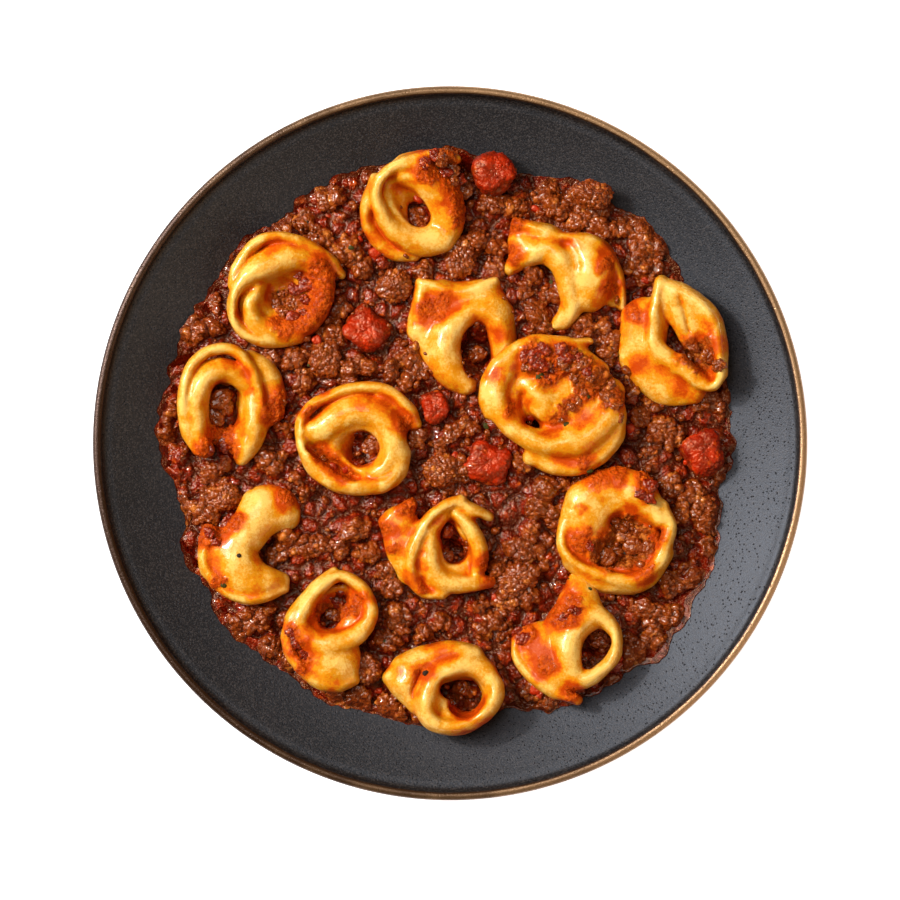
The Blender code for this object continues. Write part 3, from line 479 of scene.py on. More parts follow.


# Tortellini, each shaped from strokes of dough that are put on (add), put on as a closed ring (ring) or cut
# away (cut) in turn. The number after the word is the width of the stroke's soft join. Its rows are x, y,
# height, half width and half thickness in millimetres from the middle of its node, with height 0 half way up
# the dough, and a row on its own is a flat ball.
# well is where sauce shows down in the hole: x, y, radius, depth. cover is ragu lying on the dough: x, y,
# radius, thickness, meat share. Last come the stains, where sauce has coloured it: x, y, radius, strength.
tortellini = readTortellini("""
tortellino 1:
add 2.5: -1 -2 -2 15 4.6
add 2: 2 4 -1.6 13.5 4.2, 5 -4 -1.6 12 4.2
cut 1.6: -4.2 4 4.6 4.2 5, -1 0 2.2 4.6 6, 2 -4.6 -1.5 4.4 7
add 1.6: -3 9.6 .6 3.4 4.6, 3 8 1 4.2 5, 8 3.6 1 4.6 5, 11.4 -2 .6 4.6 5, 12 -8 0 4.6 5
add 1.2: 4 12.5 1.6 2.6 3.4, -3 13 2.8 2.2 3, -8.8 11 3.4 1.9 3, -11.8 7 3.6 1.8 3, -12.4 2 3.4 2.1 3,
    -10.6 -3.5 3.2 2.6 3.4, -7 -8.4 2.6 3.4 3.8, -2 -12 1.8 4.3 4.4, 4 -13.4 1 4.9 5, 10 -12 .6 4.8 5
add .6: -12.6 8 -.6 2 4, -15.4 1 -.6 2 4.2, -15.8 -6 -.8 2.2 4.2, -12.4 -12 -1 2.6 4, -7 -17 -1.2 2.6 3.8,
    0 -18 -1.6 2.4 3.6
add .8: -3 14.8 .4 1.3 3.4, 3 16.2 .4 1.4 3.4, 9 16.8 0 1.5 3.4, 14.6 14.4 -1.2 1.8 3
well: 1 -4 4.6 3
cover: 5 12 4.6 .7 .2, 10 13.6 4.6 .8 .5, 14 8 5 .8 .15, 17 1 5 .8 .3, 15 -5 3 .6 .2
film: -15.4 -4 3.4 .75, -12.6 -11 3.6 .85, -8 -16 3.6 .85, 3 11 4 .6, 12 3 5 .5, 10 8 4 .5
tortellino 2:
add 2.5: -3 1 -2 14.5 4.4, 3 -2 -2 13.5 4.4
cut 1.5: -.6 -2 6 7.6 8, 2 -5 6 6.6 7
add 1.4: 10 9 0 3.6 4.6, 13.6 2 .4 3.8 4.8, 12.4 -5.6 .4 3.8 4.8, 7.6 -11.6 .2 4 4.8, 1.4 -13.8 .2 4 4.8,
    -5.4 -13.4 .4 4 4.8, -9.8 -10 .8 3.4 4.6, -10.6 -5 .8 3.2 4.6, -8.4 0 0 3 4.4
add .8: 11 8.6 0 3.8 4.6, 5 10 1 5 5, -1 9.6 1.5 5.2 5, -7 7 1.8 4.6 4.8, -12.4 3.4 2 3.2 4.4,
    -16 -1.6 2 2.1 4, -16.9 -7 1.6 1.9 3.8, -14.6 -13 1.2 2.1 3.8, -9 -16.2 .8 2.4 4, -2 -17 .4 2.5 4,
    5 -15.6 0 2.6 4
add .6: 20 4.6 -1.4 1.6 2.8, 16 9 .4 1.9 3, 10.2 13.2 1.4 2 3, 3.6 15.8 1.9 2 3, -3.4 16.4 2 2 3,
    -8.8 14.8 1.8 2 3, -12.8 10.8 1.6 2 3, -15.6 6 1.4 2 3, -17 1.4 1 1.8 3
well: 3 -3 5.4 -2.2
cover: 12.6 5 4.8 .9 .1, 13 -1 4.6 .8 .1, 10.6 -6 4.2 .7 .1, 6 -10.6 4 .6 .1, .4 -11.6 4.2 .6 .1,
    8 2 3 .6 .1, 1.6 -4.4 5.4 1.3 .6
film: -4 14 3.4 .75, 7 12.4 5 .5, -13.6 -9 2.2 .8, -8 -12 3.6 .5, 13 10 4 .7, 5 -14.6 5 .6, 12 -4 5 .7,
    -11 12 3 .25, 17 8 4 .4
tortellino 3:
add 2: -4 2 -2.4 12.5 4.4, 2 -6 -2.6 10 4.2
cut 1.4: -3 3 2 6.2 8, -2.6 -4 2 5.6 7.4
cut 1.4: -3.4 -8 4 4.6 5, -3.6 -14 3 4.6 4.4
add 1.6: 5.6 14 -1 3.2 4.2, 10.4 10 -.4 4.2 4.6, 13.2 3.6 -.6 4.2 4.6, 12.6 -3 -1 4 4.2
add 1.2: -9.6 -14.6 0 2.8 4.4, -11.6 -8 .5 3.4 4.8, -12 -2 .7 3.8 5, -11 4 .8 4 5.2, -8.4 8.6 .8 4.2 5.2,
    -4.2 10.8 .8 4.2 5.2, .4 9.8 .6 3.8 5, 3.8 7 .2 3.2 4.8
add 1: 6.4 4 0 2.8 4.8, 7.2 -1 .8 3.8 5, 7 -7 .9 4.4 5.2, 5.4 -12.6 .4 3.9 4.8, 3 -17.6 -1 2.4 3.6
add .5: -12 -15 -.2 1.7 3, -15 -9 1.1 1.9 3.2, -16.3 -2 1.8 1.9 3.2, -15.9 5 2.2 1.9 3.2,
    -13.4 12 2.6 1.9 3.2, -8.8 16.3 2.9 1.9 3.2, -3 17.8 3.1 1.9 3.2, 1.8 16.2 3.3 2 3.2,
    5.2 12 3.4 2.1 3.2, 7.2 7 3.4 2 3.2, 8.8 1.8 3 1.9 3.2, 10 -3.4 1.6 1.8 3
well: -3 3 5 -.8, -2.6 -5 4.6 -1.6, -3.6 -13 5 -3
cover: 14 -2 4.4 .7 .2, -7 -14.6 4 .8 .2, 16 3 2.4 .5 .1, -3 -9 4.4 1 .2, -3 -15 4.6 1 .4
film: -.6 14.2 3.4 .8, 4 9.6 2.8 .7, 12 3 4.4 .65, -10 -12 3.6 .6, -7 13 3.4 .45, -15 -10 3 .3,
    6.6 4 2.4 .6, 9 9 4 .3, -14 0 2 .3
tortellino 4:
add 2: 0 0 -2.2 16 4.6
cut 1.6: -3 -1.6 5 3.8 5.2, 2 -3 1 5.8 8
add 1.6: -15 1.8 .3 3.4 4.4, -10 3.6 .8 4.6 4.8, -5 7 1.1 5 5.2, .4 9 1.2 5 5.4, 6 8 1.1 5 5.4,
    10.4 4.2 1 4.6 5.2, 12 -1.4 .9 4.1 5, 10.6 -6.8 .8 3.5 4.8, 7 -10.2 .5 2.8 4.4, 3 -12 -.4 1.8 3
add .6: 19.2 4.6 -.8 1.6 2.8, 17 9.2 1 1.9 3, 12.2 13.8 1.9 2 3, 6 16.3 2.3 2 3, -1 16 2.4 2 3,
    -8 13.7 2.3 2 3, -14.2 10.3 2.2 1.9 3, -17.1 6 2.2 1.9 3, -17.4 .8 2.3 2 3.2, -15.8 -4.8 2.1 2.4 3.6,
    -11.8 -10 1.6 3.2 4.2, -6 -13.4 1.2 3.5 4.6, 1 -14.8 1 3.1 4.6, 8 -14.2 .7 3 4.6, 13 -10.2 .3 3.2 4.8,
    14.2 -4.4 0 3.2 4.8
add 1.6: 8.4 12 -.6 2.4 3.6, 13.4 8.8 -1.2 2.4 3.4, 17 4.8 -2 1.8 2.8
cut .8: -15 -2.6 3.4 1 2.6, -10 -5.8 3 1.5 3.6, -4.4 -9.4 3 1.9 4.4, .4 -11.8 2.6 1.3 3.6
well: -2 -3 3 3.4, 3.6 -3 4 1.4
cover: -14 8.4 2 .4 .1, -11.6 -4.8 2.2 .3 .1, -8 -7.4 2.4 .4 .1, -3.2 -10 2.4 .4 .1, 15.6 4.4 2.2 .5 .1
film: 9.4 11 4.2 .9, 14 6.4 3.8 .95, -9 11.4 3.4 .55, 2 13.6 4.4 .5, 11 -12.4 3.4 .5, -12 -4.6 3.2 .8,
    -5 -9.6 3.6 .8, -14 7.6 3 .6, 4 -12.4 3 .5, 6 11 3 .5
tortellino 5:
add 3: -6.6 11.4 -1.4 7.2 5, 6 11.6 -1.4 7.4 5
add 3: -9 4 -1.2 7.6 5.4, -5 -6 -1 7 5.6, 0 -12 -1.4 5.6 4.8
add 2.5: 11 13 -.8 5.2 5, 13.6 8 -.6 5.6 5, 15 2 -.8 5 5, 15.4 -4 -1.4 4.2 4.6, 14.6 -9 -2.4 3.4 3.8
add 2: 16 -2 .4 2.6 5, 14.6 3 .7 3.2 5, 11 7.6 .9 3.6 5, 5 8.4 1.2 3.6 5.2, 0 5 1.6 4.2 5.4,
    -4 0 1.8 5 5.6, -4.4 -6 1.6 5 5.6, -1.6 -11.4 1 4.6 5.2, 3 -15.4 0 3.4 4.4
add 1.6: -12.8 18 .4 1.5 3.4, -7 16.4 1 2.2 3.6, 0 14.6 .8 2.4 3.8, 7 16.2 1 2.2 3.6, 12.8 18.4 .4 1.5 3.4
add 2.2: -12.6 15 0 2.4 3.8, -13.4 8 -.2 3 4, -14.4 2 -.8 2.8 3.8
cut 2: -8 9.4 6.4 3 2.4
cut 1.2: 6.8 1.4 1 2.8 9, 6 -3.6 0 4.4 9, 5.4 -9.4 -1 3.4 8
well: 5.6 -4 6 4
cover: -8.4 9.6 4 .5 .05, -5.2 11.6 3 .4 0, -12 8 2.4 .3 0
film: 0 12.6 6 .5, 11 10 6 .6, 15.6 2 5 .75, -9 10 4.6 .9, -13 6 3 .5, -2 -16 4 .3, 7 6 3 .6, -4 1 2 .2,
    14 14 4 .5
tortellino 6:
add 2.5: -13 10 -.8 6.6 5, -6 10 -.6 6 5.2
add 2.5: 6 6.4 .6 6.6 5.4, 9.4 1 1.6 7.2 6, 8.6 -5 .8 6.4 5.6
add 1: -18.4 2 -.4 2.6 4, -13 6.4 .8 4 4.8, -7.6 8 1.4 4.6 5, -3.4 6.4 1.6 4.8 5.2, -.4 2.6 1.8 4.4 5,
    1.2 -2.6 1.8 4.2 4.8, 2.4 -7.6 1.4 4 4.6, 1 -12 .6 3.8 4.4, -3 -15.4 -1 2.4 3.4
cut 1: 2.8 8 7.2 .8 1.6, 4.8 3 7.8 .7 1.4
add 1: -16.6 15.8 0 1.8 4, -10.5 14.6 .6 1.8 4.2, -4 12.4 .8 1.8 4.2, 3 11.4 1 1.6 3.8,
    9.8 10.2 .8 1.7 3.6, 14.4 7 .6 1.6 3.4, 17.6 2 .3 1.4 3.2, 19.4 -4 -.2 1.4 3.2, 19.6 -10 -1.4 1.3 2.8
add 1.6: 12 6 -2 4.4 4, 15.4 -1 -2 4 3.8, 16.2 -7 -2.4 3.2 3.4
well: -8.6 -6 6 1.4
cover: -16.4 15.4 2.6 .5 .1, 14.4 3.6 2.6 .4 .05, -18 6 2.6 .6 .2, 15.6 -4 2.6 .4 .05
film: 3.6 10.4 3.6 .75, 13.4 6 4.2 .85, 15.8 -3 3.6 1.1, -12 14.6 4.6 .35, 11 -7 3 .4, -3.4 10 3 .35,
    0 -8 2.4 .5, -16 6 3.4 .5, 4.6 2 1.4 .4
tortellino 7:
add 3: -8 6 -1.4 7.6 5.6, -8 -3 -1.4 8 5.6, -1 -10 -1.8 7.6 5.2, 7 -13 -2.2 4.6 4.6
add 2: 4 12 -.6 4.8 4.8, 10 6 -.8 6.2 4.8, 13 -2 -1.6 5.2 4.4, 12 -8 -2.4 4.4 4
cut 1.6: 3.4 10.6 6.4 2.8 4.2, 5.6 5 5.8 4.2 5, 8 -.4 4.6 4.8 6, 11.6 -5 3.6 3.6 5.6
add 1.6: -2.8 18 1.2 1.5 3.4, -3.6 12 2.4 1.9 3.6, -4.4 6 3 2.4 3.6, -3.8 .6 3.2 2.8 3.6,
    -.2 -3.6 3.1 3 3.6, 5 -6.8 2.8 2.8 3.6, 10 -10.4 2.4 2.2 3.4, 14 -11.8 1.8 1.7 3.2,
    16.8 -8.6 1.6 1.4 3.2
add 1.4: -1.6 17.6 .6 1.6 3.8, 5 15.2 .6 1.9 4, 10.4 11 .8 2 4, 14.4 5.4 1 2 4, 16 -1 1.2 2 4,
    16.4 -7.4 1.4 1.8 3.8
add 2: 1.2 13.6 .4 3 3.8, 3.4 8.6 .2 3.6 3.8, 6 3.4 -.8 3.4 3.6
cut .3: 3.6 14 4.6 .5 1.6, 5.4 9 4.2 .7 1.9, 6.6 4 3.2 .6 1.8
cut .3: -.2 14 4.8 .4 1.4, .4 9 4.6 .6 1.7, 2 4.4 4 .5 1.6
add .8: 1.6 15.4 .4 1.3 3.6, 3.2 10 0 1.4 3.6, 4.8 5 -1 1.3 3.4
add .8: 6.4 13 0 1.3 3.6, 7.8 8.4 -.6 1.5 3.6, 8.6 3.6 -1.8 1.4 3.4
add .8: 12 8.6 -1.4 1.3 3.4, 11.6 4 -2.2 1.5 3.2
well: 8.6 -2.4 5.4 1.4
cover: 12.4 -1 3 .9 .6, -11 9 2.6 .2 0, 7.6 -2.4 4 1 .6, 11.4 -5.4 3 .9 .5
film: -11 9 3.8 .9, -9.4 -6 3.8 .8, 4 -12 3.6 .7, 10 -15 4 .6, 4 14 2.4 .4, 13.6 7 3 .6, 15.6 0 3.4 .6,
    8.6 1 3 .7, -14 4 2.4 .4, 0 8 2 .5
tortellino 8:
add 3: -2 4 -1.6 16.5 5.2, 6 -2 -1.4 16 5.2
cut 1.5: -9.6 3 5 2.2 5, -8.4 -3 4.4 2.4 6, -6 -7 2 3 9
cut 1.6: -2 -7.4 5.4 2.2 3.6, 4 -5 6.4 2.4 3, 9 -1 7 2.8 2.6
add 2: -5.4 5 .4 3.6 4.8, -3 .6 .6 4.4 4.8, .6 -1 0 3.6 4.4
add 2: -8 14 .6 4.6 5, -1 16.6 .6 5 5, 7 14.6 .8 5.2 5, 14 10.6 .8 5 5
add 1.6: -13.6 14 .8 3.4 4.4, -17 8.4 1.2 3.9 4.4, -18 2.2 1.4 3.9 4.4, -16 -3.8 1.5 3.8 4.4,
    -11 -8.8 1.6 3.6 4.4, -4.6 -12 1.5 4 4.8, 2 -12.6 1.3 4.5 5, 9 -11.6 1.3 4.9 5.2, 15 -8 1.1 5 5.2,
    19 -2 .9 4.4 5, 20 5 .5 3.8 4.8
add 2: -21 -3 0 1.8 3.2, -22.4 3 .8 2.1 3.4, -20.8 9 1.4 2.3 3.4, -16.6 14.6 1.8 2.3 3.4,
    -10.8 18.8 2 2.3 3.4, -5 21 1.8 2.2 3.4, 2 20.6 1 1.7 3, 8 20.2 .2 1.4 2.6, 12.6 20.8 -.8 1.3 2.4
add 2: -7 -17 -1.6 2.6 3.8, 1 -20 -.8 2.8 4, 8.6 -20 -.6 3 4, 15.6 -16.4 -.6 3 4, 21 -10.5 -.6 2.8 4,
    22.6 -3 -.5 2.2 3.8
well: -6.4 -6.8 2.4 5
cover: -5.4 15.4 5.4 1.5 .1, -2 10.6 4.6 1.5 .15, 3 15 4.4 1.5 .3, 9.6 12.6 3.6 1.6 .6, 15.6 8 3.6 1.5 .6,
    19 3 4 .9 .5, 11 4.6 3.6 .9 .4, 7 1 2.8 .8 .4, 3.4 -2 2.4 .7 .4, .4 -5 2.2 .6 .4, 9 7.6 2.6 1.4 .6,
    10 -18.6 2.8 .4 .3, -14 -1 1.8 .3 .1
film: -19 9 3.6 .8, -12 5 3 .75, -9 -6 2.2 .4, 14 -4 4 .6, 19 -7 4 .4, 3 -16 4.4 .6, 12 -14.4 4 .3,
    -13 14 4 .7, -16 15 4 .4, 8 -6 3.4 .5, -9 1 2.4 .6
tortellino 9:
add 3: -8 5 -.2 8.2 5.6, -2 9 -.2 7.4 5.4, 6 9 -.4 6.6 5.4
add 2: 0 -6 -3 14.5 4
cut 1.4: .6 0 3 3.6 6, 4 -5 3 7.2 7, -4 -9 2.6 5 5.6
add 2.5: -11 8 1 5.4 5.2, -11 2 .8 6.2 5, -10.8 -3.4 0 5.4 4.8, -10 -8 -1 4 4.4
add 3: -5 11.6 .6 5 5, 1 12.4 .6 4.6 5, 6 11 .6 4.4 5
add 2.5: 4.6 10.6 .8 4 5, 9.6 6.8 1.1 4 4.8, 13.6 2.4 1.6 3 4.4
add 1: -15.4 4 .6 2.4 3.6, -17.2 -1.2 1 2 3.4, -17.2 -6.6 1.8 2 3.4, -13 -11.2 2.2 2 3.4,
    -6.5 -14.2 2.4 2.1 3.4, 1 -16 2.4 2.2 3.4, 8 -15.2 2.4 2.3 3.4, 12.8 -10.8 2.4 2.4 3.4,
    15.4 -5 2.4 2.4 3.4, 16.6 .6 2.1 2.1 3.4, 14.6 5.8 1.2 2 3.4
add 1.2: -15 -10.6 -1.4 2.6 4.2, -8 -16 -1.2 2.8 4.4, 2 -17.6 -1.2 2.8 4.4, 10 -15.6 -1.2 2.8 4.4,
    15.4 -8 -1.2 2.6 4.4
well: 3 -4 7.4 2
cover: 9.4 15 3.6 1.1 .05, 9 11 3 .9 .05, -6 14.8 2.8 .5 .2, 0 17 3 .5 .1, -12 -5.4 3.6 .6 .1,
    9 -12.6 2.4 .3 .1, 12.4 -3 2.2 .4 .2, 3 -4.6 8 1.3 .9, -4 -8.6 5 1 .7, -9.6 -1.6 1.8 .3 0
film: -1 14.6 4 .5, 10 12 4 .9, -8 13.6 4 .5, -11.6 -4.4 3.8 .9, 5 -14 4.4 .8, -12 5 1.4 .9, 13.4 -4 3 .4,
    -1 3 3 .5, -4 6 2.4 .25, 4 5 2.4 .5
tortellino 10:
add 3: -8 -3 -.8 9 5.2, -3 -9 -.6 8 5.2, 0 2.6 -.4 8 5.2
add 2.5: 4.8 17.6 -1 4 4.2, 6 12 -.2 5.8 4.8, 5.4 7 0 5.4 5
add 1: -1.6 6 -.4 3.4 4.8, 1 13 -.6 3.4 4.6, 4.4 18.6 -1.8 3 3.6
add 1.6: 4 16 -1.2 2.6 4.2, 6.6 11.6 -.6 3.2 4.6, 9.6 8.4 -.2 3.2 4.6
ring 1.6: 16.8 -.6 1.2 2.4 4.2, 15.4 4.2 1.7 2.6 4.2, 11.2 7 2.1 3 4.4, 5.4 5.6 2.5 4 4.6,
    1.6 .6 2.6 4.6 4.8, .8 -5.6 2.1 4.6 4.8, 3.4 -11.4 1 3.9 4.6, 8.6 -11.2 .9 2.8 4.4,
    13 -8.6 .9 2.4 4.4, 16 -5 1.1 2.3 4.2
cut 1: 7.6 -6 0 2.4 9, 9.6 -1.6 0 3.8 9, 12.6 -.8 0 2.6 9
add .8: -16.8 0 -.8 1.7 3.2, -16.6 -5 0 1.7 3.2, -13.3 -9.8 .2 1.7 3.2, -8 -13.8 .2 1.8 3.2,
    -1.5 -17 -.2 1.8 3.2, 4 -18.4 -1.2 1.8 3
well: 11 -1.6 4.2 4
cover: -1 7 4 .8 .05, 3.4 10.6 3.6 .6 .1, -14 1.4 3.8 .8 .2, -6.6 -7.4 3.4 .3 .1, 2 -16.6 2.4 .5 0
film: 2 16 5 .8, -8 -4 6.4 .8, 0 7.4 5 .8, 2 -16 3.4 .9, -3.4 -9 4 .6, 4 12.6 4 .3, 9 -6 3 .2, -13 1 4 .7,
    -8 -12 3 .4
tortellino 11:
add 3: -9.4 3.6 -.8 7.6 5.4, 0 6 -.8 8.4 5.4, 6 2 -1.4 9 5
add 2: 2 -7 -2 8.4 4.6
add 3: -11.6 .6 -1.4 5.4 4.8, -8 -3.6 -1.2 5.4 5
add 2.5: -17.6 3.4 -1.4 2.4 3.6, -12.6 4 -.4 5.4 4.8
add 1.4: -13 7 0 3.4 4.6, -6 10.2 .6 3.6 4.8, 1 11.6 .6 3.2 4.8, 7 10.4 .2 3.2 4.6
cut .8: -10.4 -7 4.8 .6 3, -10.6 -1 5.6 .6 3, -8 4.4 6 .7 3
ring 1: -5.4 -10.8 .6 2.8 4.8, -7 -5.4 1.6 3.2 4.8, -5.4 .4 2.2 3.6 4.8, -1.8 4.4 2.2 3.8 5,
    3.6 6.6 2 4 5, 8.8 5.8 1.6 3.8 5, 12.2 1.8 1.4 3.2 4.8, 13 -3 1.2 2.9 4.8, 10.2 -8.4 .9 2.8 4.6,
    5.4 -11.8 .4 2.6 4.4, -.4 -12.8 .2 2.6 4.6
cut 1.4: .6 -.6 1 3.4 9, 5 -1.4 0 4.6 9, 4.4 -5 1 5 7
well: 3 -2 5.4 4.4
cover: -8.4 4.6 1.8 .3 .2, 5 -6 3 .3 .1
film: 0 10.4 4 .6, -7.4 4.4 2.8 1, -13 5 3 .25, 8 -11 4 .6, 3 -13 3 .6, -3 7 3 .5, -10 -2 2.4 .3,
    5 -8 4 .9, 11 -6 3 .4
tortellino 12:
add 2.5: -11.6 7 -.6 6.6 5.2, -10.6 0 -.8 6.4 5.2, -8.4 -8 -1.2 5 4.8
add 2: 4 0 -3.4 10 4, 4 -8 -2.6 8 4
cut 1.4: 3.4 6 1 3.2 6, 6.6 -2 0 4.4 9
add 1.4: 2.4 10 -.4 2 4.2, -.8 5.4 .2 2.8 4.6, -2 0 .9 3.4 4.8, -1.8 -6 1 3.9 5, 1.4 -11 .9 4 5,
    7 -12.8 .7 3.4 4.8, 13 -12.8 .2 2.8 4.2, 18.6 -12.6 -1.6 1.9 3
add 1.2: 7 11 0 2.2 4.4, 10.6 7.8 .8 2.6 4.8, 13.4 3 1 3 4.8, 14.8 -3 .8 3 4.8, 14 -8.6 -.8 2.2 3.8
add 1.2: -17.2 8 -.8 1.8 3.8, -13 11.6 -.2 1.8 4, -7.6 14.4 -.6 1.8 3.8
add 1.2: 8.4 16 .8 1.8 3.2, 4 14.3 2.1 2 3.4, -.8 10.6 2.8 2.2 3.6, -4.8 5 3.1 2.3 3.6,
    -7.2 -1 3.1 2.3 3.6, -8.1 -7 2.7 2.3 3.6, -6.8 -12.3 1.9 2.2 3.4, -3 -15.8 .8 2 3.4, 2 -16.4 .2 2 3.6
add 1: 8.6 14.4 .6 1.9 3.8, 13 12 .2 2.1 3.8, 18.4 9.8 -1.4 1.6 3
well: 5 -3 4.8 4.2
cover: -9 13 3.2 .6 .1, -16.6 7 2.6 .5 .1, -4.6 12.6 2.2 .4 0, -13.4 -1 2 .4 .1, -5 -13.6 1.6 .3 0,
    17 -6 2.4 .6 .1, 18 -10 2.4 .6 .1
film: -9 12 4 .65, -5.2 -6 1.8 .7, 12 0 3.6 .45, 16 -6 4 .9, 13 10 3 .4, 3 6 4 .7, -9 -11 3 .6,
    17 -13.6 4 .5, -5 -12.6 2 .7, -15 6 4 .6, -10 0 3 .3
tortellino 13:
add 3: 0 -9.6 -.8 9.6 5.6, -4 0 -2.4 8.4 5, 4 6 -2.8 9 4.6
cut 2: 1.6 7 1.6 7.2 6.6
cut 1: 0 4 -2 3.6 9
add 1: 8.4 10 -1.4 2.6 3.6, 8.4 4.6 -1 2.6 3.6, 5 1 -1.6 2.6 3.4
ring 1: 3 17 1.8 2 3.6, 8.1 14.7 2.2 2.1 3.6, 11.5 9.9 2.5 2.2 3.8, 12.3 4.5 2.7 2.4 3.8,
    9.5 -.5 2.9 2.9 3.8, 4 -3.8 3 3.4 3.8, -2.2 -4.6 2.8 3.6 3.8, -7.6 -2 2.3 3.5 3.8, -9.8 3 2.3 3 3.8,
    -6.9 8.6 2.3 2.6 3.8, -2.3 14 2.1 2.2 3.6
add .6: -13.8 -1 1 1.4 3.4, -12 5 1.2 1.4 3.4, -7.6 11 1.2 1.4 3.4, -3.4 15.4 1 1.4 3.4, 1 19 -.4 1.4 3
add .8: -13.6 -3 .8 1.8 3.4, -12.2 -7.8 .6 1.8 3.4, -8.4 -12.8 .3 1.9 3.4, -4 -16.4 -.4 2.2 3.6,
    2 -17.8 -1 2.4 3.6, 7 -16 -1.6 2.2 3.4
well: 0 4 5.6 1.4
cover: -1 4.6 4.2 1 .6, 5.4 6.4 2.6 .9 .4, -11.6 -1 2.4 .5 .05, -9.6 -5.4 2.6 .6 .1, -7.6 -9.4 2.4 .6 .1,
    -9 -13 2 .5 .1, 8.4 9 2.4 .5 .3
film: -9 -6.4 3.8 .9, 0 -17 4.6 .7, 9 3 3 .5, 9.6 10 3 .6, -11 6 2.4 .3, 7 -7.4 4 .35, 14 3 3 .4,
    -5.4 4 3 .2, -7 -12 3.4 .8
tortellino 14:
add 3: -8 -2 -.6 7.4 5.2, -4 -9 -.6 7.4 5.2
add 3: 6 12 -.8 7 5.2, 11.4 11.4 -.4 6 4.8
add 3: 4 12 .2 5.6 5, 8.6 13.6 .2 5.6 5, 12.6 13 -.2 4.6 4.8
add 1: -12 4 0 2.4 4.4, -13.8 -2 0 2 4.2, -13.4 -7.4 0 2 4, -10.2 -12 -.2 2 3.8
cut .6: -5.2 -3 5 .9 3, -3.8 3.6 5.2 .9 3, 0 8.8 5.4 .9 3
add 1.4: 14.4 9.6 -.6 4.4 4.4, 10 10 .4 5.8 5, 4.6 8.2 1 7 5.4, .8 4.2 1.3 7 5.4, -2 -1 1.5 6.2 5.4,
    -1.6 -6.6 1.5 6.8 5.6, 2 -10.8 1 6.4 5.4, 7.8 -12 .2 4.8 4.6, 12 -11.6 -1.2 2.8 3.4
add .6: -10 -13 -.4 1.5 3, -5.4 -16.2 .8 1.7 3.2, .5 -17.8 1 1.7 3.2, 7 -17 .9 1.7 3.2,
    13 -14.4 -.4 1.6 2.8
well: 8.4 -3 4.6 2.6
cover: -8 6 3.2 .7 .15, -12.4 3.4 4.4 .8 .25, -4.4 7.4 2.4 .6 .05, -9 -12.6 2.4 .5 .3, 14 15.6 3 .6 .2
film: -9 2 4.6 .8, -10.4 -7 4 .7, 3 -15.4 4.4 .9, 12.6 14 3.6 .75, -2.6 8 3 .5, 11 -12 3 .4, -6.4 -1 2 .3
""")

# Size of the grid cells, room kept round strokes and round the whole, extra softness of every join, and how
# often the skin is smoothed, once for the shape and once more to tell creases from ridges.
dough.update({"cell": 0.45, "margin": 3.2, "room": 1.5, "join": 0.7, "relax": 6, "relaxMore": 24,
              "wrinkle": 0.3, "fineWrinkle": 0.13})


# Rough distance from points to a stroke of flat balls along a smooth line through its rows: each ball is a
# sphere squashed to its half width and half thickness, and the nearest ball counts.
def strokeField(grid, rows, closed):
    if len(rows) > 1:
        coarse = smoothLine(rows, 60, closed)
        reach = np.sqrt((np.diff(coarse[:, :3], axis=0) ** 2).sum(1)).sum()
        rows = smoothLine(rows, int(reach / max(0.5, 0.28 * coarse[:, 3].min())) + 3, closed)
    x, y, z = grid
    field = np.full((len(x), len(y), len(z)), 9.0, np.float32)
    for ballX, ballY, ballZ, wide, high in rows:
        edge = wide + dough["margin"]
        i0, i1 = np.searchsorted(x, (ballX - edge, ballX + edge))
        j0, j1 = np.searchsorted(y, (ballY - edge, ballY + edge))
        flat = ((x[i0:i1, None] - ballX) ** 2 + (y[None, j0:j1] - ballY) ** 2)[..., None]
        tall = ((z - ballZ) ** 2)[None, None]
        far = np.sqrt(flat / wide**2 + tall / high**2)
        steep = np.sqrt(flat / wide**4 + tall / high**4) + 1e-6
        part = field[i0:i1, j0:j1]
        np.minimum(part, far * (far - 1) / steep, out=part)
    return field


# The lower of two distances, rounded where they meet over the width of the join.
def softMin(first, second, join):
    near = np.clip(join - np.abs(first - second), 0, None) / join
    return np.minimum(first, second) - near * near * join / 4


